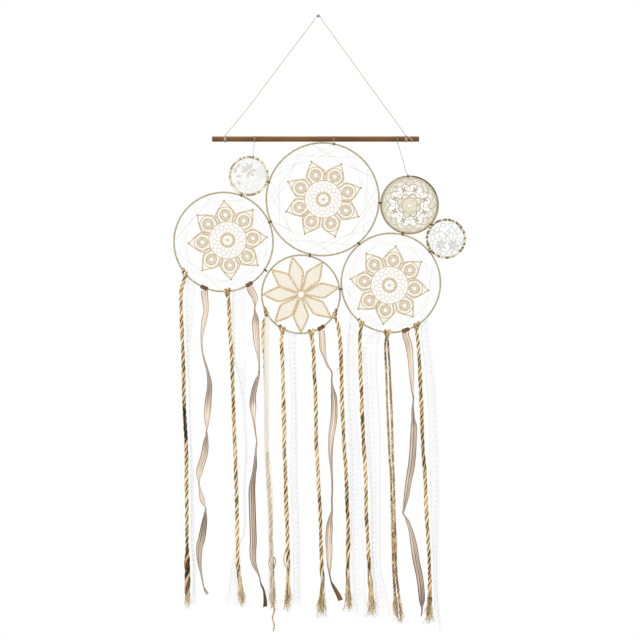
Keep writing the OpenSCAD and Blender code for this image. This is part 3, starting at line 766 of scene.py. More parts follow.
def rope_extras(name, line):
    """What single ropes have more: a trailing thread, a loose loop, stray fibres or a binding."""
    if name == "rope_3":
        tail = [(-101, -1290), (-97, -1311), (-101, -1328), (-97, -1344), (-99, -1357)]
        loop = [(-103, -1228), (-109, -1210), (-106, -1196), (-98, -1194), (-94, -1205), (-100, -1224)]
        thread = twisted(evenly(upright(smooth(tail, 4)), 1.5), 2, 1.1, 1.0, 11.0, 6)
        return thread + [tube(upright(smooth(loop, 5), -2.0), 1.3, 6, 0.5)]
    if name == "rope_4":
        loop = [(-67, -1168), (-73, -1184), (-76, -1198), (-73, -1212), (-66, -1228)]
        return [tube(upright(smooth(loop, 5), -1.5), 1.2, 6, 0.6)]
    if name == "rope_6":
        root = np.array([49.0, -3.6, -786.0])
        hairs = [[root, root + (-3, -1, 5 + k), root + (-7 - k, -1, 7 - 2 * k)] for k in range(4)]
        return [tube(smooth(hair, 4), 0.5, 4, 0.8) for hair in hairs]
    if name == "rope_9":
        centre = line[np.argmin(np.abs(line[:, 2] + 1288))]
        return [coil(centre, X, Y, Z, (5.0, 5.0), 5, 1.9, 0.9, 0.4)]
    return []


for name, looks in ROPE_LOOKS.items():
    make_rope(name, **looks)

# ---- hanging cord and strings

DOWEL_DROP = 275.0  # from the nail down to the dowel's axis
DOWEL_R = 6.0
DOWEL_SHIFT = -6.0
DOWEL_LENGTH = 455.0
TIE_SPAN = 398.0
CORD_D = 1.6
FOOT_Z = -DOWEL_DROP + DOWEL_R + 1.3
LEFT_TIE_X, RIGHT_TIE_X = DOWEL_SHIFT - TIE_SPAN / 2, DOWEL_SHIFT + TIE_SPAN / 2
HANGING = [
    (LEFT_TIE_X, FOOT_Z), (-150, -200), (-90, -120.5), (-30, -41), (-12, -17), (-6, -8.5), (-2.5, -2.6),
    (0, -0.8), (2.5, -2.6), (6, -8.5), (12, -17.5), (30, -43), (90, -126), (150, -208.5),
    (RIGHT_TIE_X, FOOT_Z),
]
LEFT_STRING_ANGLE, RIGHT_STRING_ANGLE = 76.5, 93.0
LEFT_STRING_X, RIGHT_STRING_X = -140.0, 174.0
STRING_TOP = -DOWEL_DROP - DOWEL_R - 1.2


def string_foot(h, angle):
    """Where a string reaches its hoop, just above the hoop's thread."""
    return on_hoop(h, angle) + polar(WRAP_R + 0.8, angle)


def make_string(name, points, paint, body):
    """A taut twine from object to object."""
    line = evenly(upright(smooth(points, 4)), 1.0)
    obj = build(name + "_twine", twine(line, CORD_D), paint, body, [name])


make_string("hanging_cord", HANGING, HANGING_CORD, "hanger")
make_string(
    "left_string",
    [(LEFT_STRING_X, STRING_TOP), (-141, -290), (-143, -300), string_foot("small_left", LEFT_STRING_ANGLE)],
    RING_TWINE, "hoops",
)
make_string(
    "right_string",
    [(RIGHT_STRING_X, STRING_TOP), (177, -292), (182, -308), (187, -324), (190, -338), (194, -349),
     string_foot("doily", RIGHT_STRING_ANGLE)],
    HANGING_CORD, "hoops",
)

# ---- ribbons

RIBBON_W = 15.0
SATIN_W = 2.2
SATIN_COLUMNS = 2  # of faces, along each edge
RIPPLE = 0.35  # how high its surface waves
BOW = 3.0  # how far it bows out between its edges where it is seen edge on
BACK_BELOW = -920  # under this height a ribbon's back is darker
SATIN_END = 0.25  # where an end is darkened by more than this, it is satin all across
DARK_ENDS = {"ribbon_1": 0.0, "ribbon_2": 0.42, "ribbon_3": 0.46, "ribbon_4": 0.2}


def streaks(u, reach, count):
    """Lines along a ribbon at random distances u from its middle, within the reach."""
    return sum(np.exp(-(((u - at) / 0.6) ** 2)) for at in rng.uniform(-reach, reach, count))


def make_ribbon(name):
    """A ribbon that turns about its own line, bulges between its edges and has satin along both."""
    hinge = HINGES[name]
    stations = smooth([(hinge[0], hinge[2] + 2.2, RIBBONS[name][0][2])] + RIBBONS[name], 8)
    flat = stations[:, :2]
    heading = np.gradient(flat, axis=0)
    heading /= np.linalg.norm(heading, axis=1)[:, None]
    turn = np.radians(stations[:, 2])
    across = together(np.cos(turn) * heading[:, 1], np.sin(turn), -np.cos(turn) * heading[:, 0])
    facing = together(-np.sin(turn) * heading[:, 1], np.cos(turn), np.sin(turn) * heading[:, 0])
    line = upright(flat)
    n = len(line)
    w = RIBBON_W / 2
    satin = np.array([0, SATIN_W / 2, SATIN_W])
    u = np.concatenate([satin - w, np.linspace(SATIN_W - w, w - SATIN_W, 17)[1:-1], (w - satin)[::-1]])
    edge_on = 1 - np.abs(np.cos(turn))
    pleat = RIPPLE * np.sin(u[None, :] * 1.3 + 2.0 * wander(n, 3, 60)[:, None])
    pleat = pleat + BOW * edge_on[:, None] ** 2
    pleat = pleat * (1 - (u / w) ** 2)[None, :]
    points = line[:, None] + u[None, :, None] * across[:, None] + pleat[..., None] * facing[:, None]
    lower_back = np.clip((BACK_BELOW - flat[:, 1]) / 50, 0, 1) * np.clip(0.3 - np.cos(turn), 0, 1)
    near_end = DARK_ENDS[name] * np.clip((flat[-1, 1] + 75 - flat[:, 1]) / 40, 0, 1)
    # Painted shade: away darkens the ribbon where it has turned from the light, most at 122 degrees of turn
    # and half a turn on. dark adds the darker back below BACK_BELOW and the dark ends, and the streaks and
    # satin edges grow darker with it.
    away = 0.5 - 0.5 * np.cos(2 * (turn - math.radians(32)))
    dark = 0.38 * away + 0.24 * lower_back + near_end
    lines = streaks(u, 4.8, 5)
    lines = lines - 0.6 * streaks(u, 4.6, 2)
    shade = 0.94 - dark[:, None] - (0.32 + 0.7 * dark[:, None]) * lines
    shade = shade - (0.16 + 0.5 * dark[:, None]) * (np.abs(u) > w - SATIN_W * 0.9)
    obj = build(name + "_cloth", [sheet(points, u, shade)], SHEER, replaces=[name])
    obj.data.materials.append(SATIN)
    index = np.zeros((n - 1, len(u) - 1), np.int32)
    index[:, :SATIN_COLUMNS] = 1
    index[:, -SATIN_COLUMNS:] = 1
    index[near_end[1:] > SATIN_END] = 1
    obj.data.polygons.foreach_set("material_index", index.ravel())
    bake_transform(obj)


for name in RIBBONS:
    make_ribbon(name)

# ---- lace strips

# Each strip's hoop, its width, and whether its scalloped edge is on the right
LACE_CUTS = {
    "lace_1": ("left", 22, False), "lace_2": ("left", 30, False), "lace_3": ("star", 18, False),
    "lace_4": ("star", 22, True), "lace_5": ("right", 26, False), "lace_6": ("right", 30, False),
    "lace_7": ("right", 22, True),
}
LACE_Y = 6.0
TUCK = 22.0  # over this length a strip slopes from the wire to its own depth
PLEATS = 2
NET_CELL = 2.7
NET_STEP = 1.6
NET_THREAD = 0.28  # half of what a thread of the net covers across the strip
DEEPEST_PLEAT = 3.2
BEHIND_WIRE = 2.5  # a strip's depth where it leaves its wire
SCALLOP = 11.0
WEAVE_COLUMNS = 7
VEIL_FROM = 290.0  # below this length the woven strip is thin enough to see through


def flat_band(u, v, half):
    """Two-point rows along a line of (u, v), as wide as 2 * half across u."""
    return np.stack([together(u - half, v), together(u + half, v)], axis=1)


def lace_bands(wide, total, v, right_edge):
    """The threads of a strip's net and edges, and its buds, at the distances v down the strip."""
    rows = np.arange(len(v))
    count = int(wide / NET_CELL)
    cell = wide / count
    bands = []
    for k in range(count):
        side = np.where((rows + k) % 2 == 0, 0.5, -0.5)
        bands.append(flat_band((k + 0.5 + side * 0.96) * cell, v, NET_THREAD))
    bands += edge_bands(wide, v, right_edge)
    edge, outward = (wide, 1) if right_edge else (0.0, -1)
    steps = np.linspace(-1, 1, 7)
    for start in np.arange(SCALLOP / 2, total - SCALLOP, SCALLOP):
        for middle_u, long, broad in ((edge - outward * 5.2, 3.6, 1.5), (wide / 2, 2.6, 1.0)):
            half = broad * np.sqrt(np.maximum(1 - steps**2, 0.03))
            bands.append(flat_band(middle_u, start + steps * long, half))
    return bands


def edge_bands(wide, v, right_edge):
    """The threads along a strip's edges: two in scallops, and one straight on the other side."""
    edge, outward = (wide, 1) if right_edge else (0.0, -1)
    wave = np.abs(np.sin(math.pi * v / SCALLOP))
    return [
        flat_band(edge + outward * (0.2 + 1.6 * wave), v, 0.6),
        flat_band(edge - outward * (1.6 + 1.2 * wave), v, 0.4),
        flat_band(np.full(len(v), wide - edge + outward * 0.6), v, 0.7),
    ]


def make_lace(name):
    """A strip of net with scallops and buds. lace_3 hangs in front, and is a woven sheet instead."""
    front = name == "lace_3"
    sign = -1 if front else 1
    h, wide, right_edge = LACE_CUTS[name]
    stations = smooth(LACES[name], 8)
    left_x, right_x, height = stations.T
    depth = lengths(together((left_x + right_x) / 2, height))
    total = depth[-1]
    shown = right_x - left_x
    amplitude = np.clip(np.sqrt(np.maximum(wide**2 - shown**2, 0)) / (4 * PLEATS), 0.2, DEEPEST_PLEAT)
    phase = 1.2 * wander(len(stations), total / len(stations), 90) + rng.uniform(0, 6)

    def place(band):
        """Points of the strip from (u, v): across it from its left edge, and down along it."""
        u, v = band[..., 0], band[..., 1]
        share = np.clip(u / wide, -0.08, 1.08)
        left, right, z, size, shift = (
            np.interp(v, depth, series) for series in (left_x, right_x, height, amplitude, phase)
        )
        x = left + (right - left) * share
        wire_z = HOOP_C[h][1] - np.sqrt(np.maximum(HOOP_R[h] ** 2 - (x - HOOP_C[h][0]) ** 2, 0))
        near_wire = np.clip(1 - v / TUCK, 0, 1)
        y = LACE_Y + size + size * np.sin(2 * math.pi * PLEATS * share + shift)
        y = BEHIND_WIRE + (y - BEHIND_WIRE) * (1 - near_wire**2)
        return together(x, sign * y, z + (wire_z - height[0]) * near_wire)

    v = np.arange(0, total + NET_STEP, NET_STEP)
    bands = edge_bands(wide, v, right_edge) if front else lace_bands(wide, total, v, right_edge)
    parts = [sheet(place(band), (-0.3, 0.3), 0.6 + rng.uniform(-0.1, 0.1)) for band in bands]
    net_faces = sum(len(part[1]) for part in parts)
    if front:
        columns = np.linspace(0.5, wide - 0.5, WEAVE_COLUMNS)
        weave = place(together(columns[None, :], v[:, None])) - (0, 0.6, 0)
        parts.append(sheet(weave, np.linspace(-wide / 2, wide / 2, WEAVE_COLUMNS)))
    obj = build(name + "_net", parts, WHITE_LACE, replaces=[name])
    obj.data.materials.append(VOILE)
    obj.data.materials.append(VEIL)
    faces = np.arange(len(obj.data.polygons))
    veil_start = net_faces + (WEAVE_COLUMNS - 1) * int(VEIL_FROM / NET_STEP)
    index = (faces >= net_faces).astype(np.int32) + (faces >= veil_start)
    obj.data.polygons.foreach_set("material_index", index)
    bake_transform(obj)


for name in LACES:
    make_lace(name)

# ---- hoops

RING_SIDES = 10
FINE_WRAP = dict(pitch=1.6, height=0.45, samples=5, sunk=0.25)
COARSE_WRAP = dict(pitch=4.4, height=1.3, samples=9, sunk=0.05)
RING_TONES = {"small_left": 0.14, "small_right": -0.08, "doily": -0.16}
DARK_CORNERS = {"doily": 0.35}  # how much darker a hoop is at its upper right


def wound_ring(h, pitch, height, samples, sunk):
    """The thread wound round a hoop: a helical ridge on a ring, with these samples a turn."""
    r = HOOP_R[h]
    turns = int(round(2 * math.pi * r / pitch))
    a = np.linspace(0, 2 * math.pi, turns * samples + 1)[:, None]
    b = (np.arange(RING_SIDES) * 2 * math.pi / RING_SIDES)[None, :]
    ridge = np.abs(np.sin((a * turns - b) / 2)) ** 0.7
    minor = WRAP_R - sunk + height * (ridge - 0.4)
    out = r + minor * np.cos(b)
    verts = together(HOOP_C[h][0] + out * np.cos(a), minor * np.sin(b), HOOP_C[h][1] + out * np.sin(a))
    straight = together(a * r, minor * np.cos(b), minor * np.sin(b))
    turn_tone = rng.uniform(-0.12, 0.12, turns + 2) * (pitch / 1.6) ** 1.2
    index = np.floor((a * turns - b) / (2 * math.pi)).astype(int) % turns
    tone = RING_TONES.get(h, 0.0) - DARK_CORNERS.get(h, 0.0) * bump_between(np.degrees(a), 25, 80, 8)
    # Painted shade: the valleys between the turns of thread are darker than the ridges. turn_tone and
    # RING_TONES are the thread's own colour, and DARK_CORNERS darkens the doily's hoop at its upper right.
    return surface(verts, straight, 0.15 + 0.6 * ridge + turn_tone[index] + tone, True)


for h in HOOPS:
    wrap, paint = (COARSE_WRAP, RING_TWINE) if h.startswith("small") else (FINE_WRAP, HOOP_THREAD)
    build("wrap_" + h + "_thread", [wound_ring(h, **wrap)], paint, "hoops", ["wrap_" + h])

# ---- knots, bands and folds: each one's hoop and angle, and for the folds half their length

ROPE_TIES = [
    ("left", 218.6), ("left", 274.7), ("star", 207.5), ("star", 241.8), ("star", 285.5), ("star", 330.7),
    ("right", 233), ("right", 265.6), ("right", 301.2),
]
RIBBON_TIES = [("left", 247.1), ("left", 301.2), ("star", 301.2), ("right", 287.4)]
LACE_TIES = [
    ("left", 227.8, 9.5), ("left", 286.2, 12), ("star", 216, 5), ("star", 257, 9), ("right", 224.2, 9),
    ("right", 257.9, 5), ("right", 311.4, 8),
]
# A lark's head knot: along the wire, down, and towards the wall, from the middle of the wire
LARKS_HEAD = [
    (-1.3, 11.0, 0.6), (-1.9, 6.5, 1.4), (-3.4, 1.5, 4.6), (-4.4, -4.0, 1.4), (-5.0, -3.4, -3.4),
    (-5.6, 0.4, -5.0), (-3.0, 3.4, -6.0), (0, 4.0, -6.2), (3.0, 3.4, -6.0), (5.6, 0.4, -5.0),
    (5.0, -3.4, -3.4), (4.4, -4.0, 1.4), (3.4, 1.5, 4.6), (1.9, 6.5, 1.4), (1.3, 11.0, 0.6),
]

knot_parts = []
for h, angle in ROPE_TIES:
    along = polar(1.0, angle + 90)
    if along[0] < 0:
        along = -along
    k = np.array(LARKS_HEAD) * rng.uniform(0.94, 1.06, (len(LARKS_HEAD), 3))
    xz = on_hoop(h, angle) + k[:, :1] * along + k[:, 1:2] * (0.0, -1.0)
    path = evenly(smooth(together(xz[:, 0], k[:, 2], xz[:, 1]), 6), 1.2)
    # gap=2.4 paints deep shade between the knots' strands.
    knot_parts += twisted(path, 3, 1.8, 1.8, 17.0, 7, lump=0.16, gap=2.4, tone=-0.1, mottle=0.3)
build("rope_knots_jute", knot_parts, JUTE, "hoops", ["rope_knots"])


def sleeve(h, angle, half, radius, wrinkles):
    """A fold of cloth round a hoop's wire, half its length to each side of the angle."""
    a = angle + np.linspace(-1, 1, 13) * math.degrees(half / HOOP_R[h])
    b = np.arange(20) * 2 * math.pi / 20
    r = radius + wrinkles * rng.uniform(-1, 1, (13, 20)) * 0.4 + wrinkles * np.sin(3 * b + rng.uniform(0, 6))
    r[[0, -1]] *= 0.75
    out = HOOP_R[h] + r * np.cos(b)
    cos_a, sin_a = polar(1.0, a[:, None]).transpose(2, 0, 1)
    points = together(HOOP_C[h][0] + out * cos_a, r * np.sin(b), HOOP_C[h][1] + out * sin_a)
    straight = together(np.linspace(-half, half, 13)[:, None], r * np.cos(b), r * np.sin(b))
    return surface(points, straight, 0.5 + 0.3 * rng.uniform(-1, 1, (13, 20)), True)


bands = [sleeve(h, a, RIBBON_W / 2 + 0.8, 4.5, 0.35) for h, a in RIBBON_TIES]
build("ribbon_bands_satin", bands, RIBBON_BAND, "hoops", ["ribbon_bands"])

# ---- lashings, loops and ties

LASHED = [
    ("small_left", "top"), ("small_left", "left"), ("top", "left"), ("left", "star"), ("top", "star"),
    ("top", "right"), ("star", "right"), ("top", "doily"), ("doily", "right"), ("doily", "small_right"),
    ("small_right", "right"),
]
TOP_TIE_X = 34.5


def wire_coil(h, angle, radius, turns, pitch, thread, shade=0.5):
    """A thread wound round a hoop's wire."""
    place, radial, along = upright([on_hoop(h, angle), polar(1.0, angle), polar(1.0, angle + 90)])
    return coil(place, radial, Y, along, (radius, radius), turns, pitch, thread, shade)


lash_parts = []
for a, b in LASHED:
    u = HOOP_C[b] - HOOP_C[a]
    u /= np.linalg.norm(u)
    joint, across, along = upright([HOOP_C[a] + u * (HOOP_R[a] + WRAP_R + 0.2), u, (-u[1], u[0])])
    lash_parts.append(coil(joint, across, Y, along, (4.4, 2.5), 4, 0.8, 0.4))
    lash_parts.append(coil(joint, along, Y, across, (1.8, 2.7), 2, 0.8, 0.4, 0.35))
top_tie_angle = math.degrees(math.acos((TOP_TIE_X - HOOP_C["top"][0]) / HOOP_R["top"]))
for h, angle in (("top", top_tie_angle), ("small_left", LEFT_STRING_ANGLE), ("doily", RIGHT_STRING_ANGLE)):
    lash_parts.append(wire_coil(h, angle, 2.5, 4, 0.8, 0.45))
build("hoop_lashings_thread", lash_parts, LASHING, "hoops", ["hoop_lashings"])

fold_parts = []
for h, angle, half in LACE_TIES:
    for offset in np.arange(-half, half + 0.1, 2.2):
        fold_parts.append(wire_coil(h, angle + math.degrees(offset / HOOP_R[h]), 2.3, 1, 0.9, 0.26, 0.8))
build("lace_folds_net", fold_parts, WHITE_LACE, "hoops", ["lace_folds"])


def on_dowel(x, out=0.0, up=0.0):
    """A point off the dowel's axis, out from the wall and up."""
    return x, -out, up - DOWEL_DROP


loops_at = (TOP_TIE_X, LEFT_STRING_X, RIGHT_STRING_X)
loop_parts = [coil(on_dowel(x), Y, Z, X, (6.55, 6.55), 2.5, 1.1, 0.5, 0.45) for x in loops_at]
build("dowel_loops_thread", loop_parts, HOOP_THREAD, "hoops", ["dowel_loops"])

for side, x in (("left", LEFT_TIE_X), ("right", RIGHT_TIE_X)):
    tie = [coil(on_dowel(x), Y, Z, X, (6.75, 6.75), 3.0, 1.7, 0.75, 0.6)]
    cross = [on_dowel(x - 2.4, 6.2, 3.0), on_dowel(x, 7.6), on_dowel(x + 2.4, 6.6, -3.4)]
    tie.append(tube(smooth(cross, 5), 0.8, 6, 0.8))
    if side == "right":
        tail = [on_dowel(x - 1, 5.0, 6.6), on_dowel(x + 4, 6.0, 5.0), on_dowel(x + 9, 7.2, 1.0),
                on_dowel(x + 14, 7.4, -3.4)]
        tie += twine(smooth(tail, 5), 2.0, 3.2, tone=0.2)
    build(f"cord_tie_{side}_twine", tie, HANGING_CORD, "hanger", ["cord_tie_" + side])

knot_at = (0, 0, -5)
top_knot = [ball(knot_at, 2.1, 0.1), coil(knot_at, X, Y, Z, (2.1, 2.1), 3, 1.2, 0.5, 0.15)]
build("top_knot_twine", top_knot, HANGING_CORD, "hanger", ["top_knot"])

# ---- dowel

DOWEL_SIDES = 28
DOWEL_ROWS = 120


def make_dowel():
    x = np.linspace(-DOWEL_LENGTH / 2, DOWEL_LENGTH / 2, DOWEL_ROWS)
    b = np.arange(DOWEL_SIDES) * 2 * math.pi / DOWEL_SIDES
    rough = rng.uniform(-1, 1, (DOWEL_ROWS, DOWEL_SIDES))
    r = DOWEL_R - 0.12 + 0.06 * np.sin(x / 23)[:, None] + 0.05 * rough
    r[[0, -1]] *= 0.93
    x = capped(capped(x))[:, None]
    r = np.vstack([r[:1] * 0.01, r[:1] * 0.5, r, r[-1:] * 0.5, r[-1:] * 0.01])
    points = together(DOWEL_SHIFT + x, r * np.sin(b), -DOWEL_DROP + r * np.cos(b))
    straight = together(x, r * np.cos(b), r * np.sin(b))
    # Painted light: cos(b) makes the dowel's top lighter and its underside darker; the wander along it is the
    # wood's own tone.
    shade = 0.55 + 0.22 * np.cos(b)[None, :] + 0.12 * wander(len(x), 4, 30)[:, None]
    return surface(points, straight, shade, True)


build("dowel_grain", [make_dowel()], WOOD, "hanger", ["dowel"])

# ---- crochet


def circle(r, n=96, wave=0.0, lobes=0):
    """A round of n steps, which may wave in and out."""
    a = np.linspace(0, 360, n + 1)
    return polar(r + wave * np.cos(np.radians(a * lobes)), a)


def turned(points, degrees, shift=(0, 0)):
    """The points turned about the origin, then shifted."""
    x, y = np.asarray(points, float).T
    c, s = math.cos(math.radians(degrees)), math.sin(math.radians(degrees))
    return together(x * c - y * s, x * s + y * c) + shift


def closed(points, n=6):
    """A smooth closed line through the points."""
    p = np.asarray(points, float)
    around = np.vstack([p[-2:], p, p[:2]])
    return smooth(around, n)[2 * n : -n]


def scallops(count, low, high, turn=0.0, n=10):
    """A round of arches between two radii."""
    a = np.linspace(0, 360, count * n + 1)
    arch = np.sqrt(np.abs(np.sin(np.radians(a * count / 2))))
    return turned(polar(low + (high - low) * arch, a), turn)


def there_and_back(half):
    """A line along one side and, mirrored, back along the other, as (along, across)."""
    return np.vstack([half, half[::-1][1:] * (1, -1)])


class Crochet:
    """Collects the threads of one piece of crochet, laid flat round a middle in the hoops' plane."""

    def __init__(self, centre):
        self.centre = np.asarray(centre, float)
        self.parts = []

    def lay(self, points, y=0.0):
        return upright(np.asarray(points) + self.centre, y)

    def cord(self, points, width, tone=0.0, y=0.0):
        self.parts += twine(self.lay(points, y), width, tone=tone)

    def line(self, points, r, shade=0.7, y=0.0, step=2.0):
        self.parts.append(tube(evenly(self.lay(points, y), step), r, 5, shade))

    def dots(self, points, r, pitch, shade=0.8, y=0.0):
        """A row of stitches: a thread that swells at every pitch."""
        line = evenly(self.lay(points, y), pitch / 4)
        s = lengths(line)
        self.parts.append(tube(line, r * (0.78 + 0.3 * np.abs(np.sin(math.pi * s / pitch))), 5, shade))

    def fill(self, a, b, n, r, shade=0.9):
        self.parts += posts(self.lay(a), self.lay(b), n, r, shade)

    def knot(self, point, r, shade=0.2):
        p = self.lay([point])[0]
        self.parts.append(ball(p, r, shade))


# A mandala petal lies along X from the ring: half of its outline and half of its inner arch
PETAL = [(39.5, 14.2), (48, 17.3), (56.4, 21.2), (64, 17.4), (74, 10.4), (85.6, 0)]
ARCH = [(42.3, 13.2), (50, 16.6), (58, 17.4), (65, 15.2), (70.6, 9.8), (73, 3.6), (73.2, 0)]


def make_mandala(h, centre, turn):
    """Eight petals with rings in them, round a net of bars and waves about a small middle."""
    m = Crochet(centre)
    side = smooth(PETAL, 4)
    arch = there_and_back(smooth(ARCH, 4))
    half_arch = arch[: len(arch) // 2]
    share = np.linspace(0, 1, len(half_arch))
    near_tip = together(*(np.interp(np.linspace(0, 1, 20), share, column) for column in half_arch.T))[8:]
    middle = np.array([55.6, 0.0])
    bow = np.sin(np.linspace(0, math.pi, len(side)))
    for i in range(8):
        a = turn + 45 * i + rng.uniform(-1.2, 1.2)
        bulge = together(0.0, rng.uniform(-0.8, 0.8) * bow)
        outline = np.vstack([side + bulge, (side[::-1] + bulge)[1:] * (1, -1)])
        m.cord(turned(outline, a), 3.1, tone=-0.14)
        m.cord(turned(arch, a), 2.4, tone=-0.12)
        for sign in (1, -1):
            edge = side[8:] * (0.985, sign * 0.93)
            m.fill(turned(near_tip * (1, sign), a), turned(edge, a), 12, 0.33, 1.1)
        m.fill(turned(arch * (1, 0.95), a), turned(middle + (arch - middle) * (0.7, 0.66), a), 40, 0.38, 1.05)
        for r, tone in ((5.4, -0.12), (7.6, 0.0), (9.8, 0.0), (11.6, -0.12)):
            m.cord(turned(circle(1.0, 28) * (r * 1.03, r) + middle, a), 2.3, tone=tone)
        m.knot(polar(87.0, a), 1.8, 0.0)
    m.cord(circle(41.3, 120), 3.0, tone=-0.1)
    for low, high, shift in ((24.0, 27.6, 0.0), (31.6, 35.4, 11.25)):
        m.line(turned(circle((low + high) / 2, 192, (low - high) / 2, 16), turn + shift), 0.5, 0.6, step=1.2)
    for start, end, shift in ((17, 24.0, 0.0), (27.6, 31.6, 11.25), (35.4, 40.4, 0.0)):
        for i in range(16):
            m.line(polar(np.array([start, end]), turn + shift + 22.5 * i), 0.5, 0.6)
    for r in (12.0, 14.0, 16.2):
        m.cord(circle(r, 60), 2.3, tone=-0.06)
    for i in range(8):
        m.line(polar(np.array([0.6, 11.5]), turn + 22.5 + 45 * i), 0.45, 0.6)
    m.line(circle(2.0, 16), 0.6, 0.4, step=0.8)
    obj = build(f"mandala_{h}_crochet", m.parts, MANDALA_COTTON, "hoops", ["mandala_" + h])


CHORD, TIP_CHORD = 78, 38  # degrees of the hoop that a thread spans, and one from a petal's tip
KNOTTED = 0.4  # share of the web's crossings that have a knot


def make_web(h, shift, turn, r):
    """Long threads from hoop to hoop, and two from each petal's tip, that cross in diamonds."""
    web = Crochet(HOOP_C[h])
    rim = HOOP_R[h] - WRAP_R
    chords = []
    for i in range(12):
        a = turn + 30 * i + rng.uniform(-5, 5)
        chords.append([polar(rim, a), polar(rim, a + CHORD)])
    for i in range(8):
        a = turn + 45 * i
        tip = np.array(shift) + polar(88.0, a)
        chords += [[tip, polar(rim, a - TIP_CHORD)], [tip, polar(rim, a + TIP_CHORD)]]
    for p, q in chords:
        web.line([p, (p + q) / 2, q], r, 0.5)
    for i, (p, q) in enumerate(chords):
        for u, v in chords[:i]:
            met = crossing(p, q, u, v)
            if met is not None and rng.random() < KNOTTED:
                web.knot(met, r * 2.0, 0.3)
    build(f"web_{h}_thread", web.parts, WEB_THREAD, "hoops", ["web_" + h])


def crossing(p, q, u, v):
    """Where two straight threads cross, if they do."""
    a, b = q - p, v - u
    det = a[0] * b[1] - a[1] * b[0]
    if abs(det) < 1e-6:
        return None
    w = u - p
    s, t = (w[0] * b[1] - w[1] * b[0]) / det, (w[0] * a[1] - w[1] * a[0]) / det
    return p + a * s if 0.02 < s < 0.98 and 0.02 < t < 0.98 else None


# Hoop, how far its mandala is off its middle, the mandala's turn, and the web's thread radius
MANDALAS = [("top", (1.5, 0), 17.8, 0.3), ("left", (9, 4), 5.3, 0.2), ("right", (-3, -5), 36.4, 0.2)]
for h, shift, turn, r in MANDALAS:
    make_mandala(h, HOOP_C[h] + shift, turn)
    make_web(h, shift, turn, r)

STAR_ANGLES = (10, 56, 103, 140, 180, 227, 270, 322)
STAR_TIE = np.array([81.5, 85.5])  # from a tip to the hoop's thread
# Half of a petal's outline, from the middle to the tip
STAR_SIDE = [(8.5, 2.0), (24, 7.8), (42, 14.8), (48, 15.8), (54, 14.4), (68, 8.0), (81.5, 0.9)]


def make_star():
    """Eight petals of cord filled with rows of stitches, in two layers, and the threads at their tips."""
    star = Crochet(HOOP_C["star"])
    outline = np.array(STAR_SIDE)
    petal = np.vstack([outline, outline[::-1] * (1, -1), outline[:1]])
    for i, a in enumerate(STAR_ANGLES):
        y = 0.35 if i % 2 else -0.35
        star.cord(turned(smooth(petal, 4), a), 5.0, tone=-0.08, y=y)
        for offset in np.arange(-13.2, 13.3, 3.3):
            run = np.arange(10, 80, 0.5)
            inside = run[np.interp(run, outline[:, 0], outline[:, 1]) > abs(offset) + 1.4]
            if len(inside) > 4:
                row = np.stack([inside[[0, -1]], [offset, offset]], 1)
                star.dots(turned(row, a), 0.8, 2.2, 0.86, y)
        for along in np.arange(14, 76, 2.6):
            reach = np.interp(along, outline[:, 0], outline[:, 1]) - 0.8
            if reach > 1:
                star.line(turned([(along, -reach), (along, reach)], a), 0.5, 0.98, y + 0.6, step=4.0)
    star.cord(circle(8.2, 48), 3.8, tone=-0.06)
    obj = build("star_flower_crochet", star.parts, STAR_COTTON, "hoops", ["star_flower"])
    ties = Crochet(HOOP_C["star"])
    for a in STAR_ANGLES:
        for beside in (-1, 1):
            ties.line(polar(STAR_TIE, a + beside), 0.45, 0.7)
        ties.knot(polar(83.2, a), 1.5, 0.0)
    build("star_ties_thread", ties.parts, WEB_THREAD, "hoops", ["star_ties"])


make_star()


def leaf(length, broad):
    """Outline of a small leaf that starts at the origin."""
    half = np.array([(0, 0), (length * 0.3, broad), (length * 0.7, broad * 0.9), (length, 0)])
    return closed(there_and_back(half)[:-1])


# Loops of the doily, each laid along X
OUTER_LOOP = [(41.5, 0), (44, 5), (49, 5.6), (51.5, 0), (49, -5.6), (44, -5)]
INNER_LOOP = [(29.5, 0), (34, 3.2), (40, 3.0), (40, -3.0), (34, -3.2)]


def make_doily():
    """Rounds of stitches, a flower with a dark edge, eight crosses between loops, and scallops."""
    d = Crochet(HOOP_C["doily"] + (0, -1))
    for k, r in enumerate((3.8, 6.2, 8.6, 11.0, 13.4)):
        d.dots(circle(r, max(16, int(r * 5))), 1.2, 2.4, 0.92 - 0.08 * (k % 2))
    flower = scallops(8, 20.0, 26.5, 3.0)
    flower = flower * (1 + 0.06 * np.sin(np.radians(np.linspace(0, 1080, len(flower)))))[:, None]
    d.fill(circle(14.4), flower * 0.97, 80, 0.45, 0.86)
    d.line(circle(17.5), 0.7, 0.7)
    d.cord(flower, 2.1, tone=-0.34)
    for i in range(8):
        a = 22.5 + 45 * i + rng.uniform(-3, 3)
        for direction in (45, 135, 225, 315):
            d.line(turned(turned([(0.6, 0), (6.4, 0)], direction) + (36.2, 0), a), (1.1, 1.5, 1.7, 1.3), 0.42)
        d.line(polar(np.array([26, 30.5]), a - 6), 0.5, 0.6)
        d.line(polar(np.array([26, 30.5]), a + 6), 0.5, 0.6)
        d.cord(turned(closed(OUTER_LOOP), a + 22.5), 1.6, tone=-0.12)
        d.cord(turned(closed(INNER_LOOP), a + 22.5), 1.1, tone=-0.05)
    d.line(circle(31, 90, 0.8, 16), 0.55, 0.6)
    d.cord(scallops(16, 42.0, 47.0), 1.9, tone=-0.14)
    d.cord(scallops(16, 50.0, 55.5, 11.25), 1.9, tone=-0.14)
    d.fill(scallops(16, 42.5, 47.5), scallops(16, 50.0, 55.0, 11.25), 110, 0.4, 0.86)
    d.fill(scallops(16, 50.0, 55.5, 11.25), circle(61), 120, 0.4, 0.86)
    d.line(circle(58.2, 120, 0.8, 32), 0.55, 0.6)
    d.line(circle(60.4, 120), 0.8, 0.5)
    obj = build("round_doily_crochet", d.parts, DOILY_COTTON, "hoops", ["round_doily"])


make_doily()


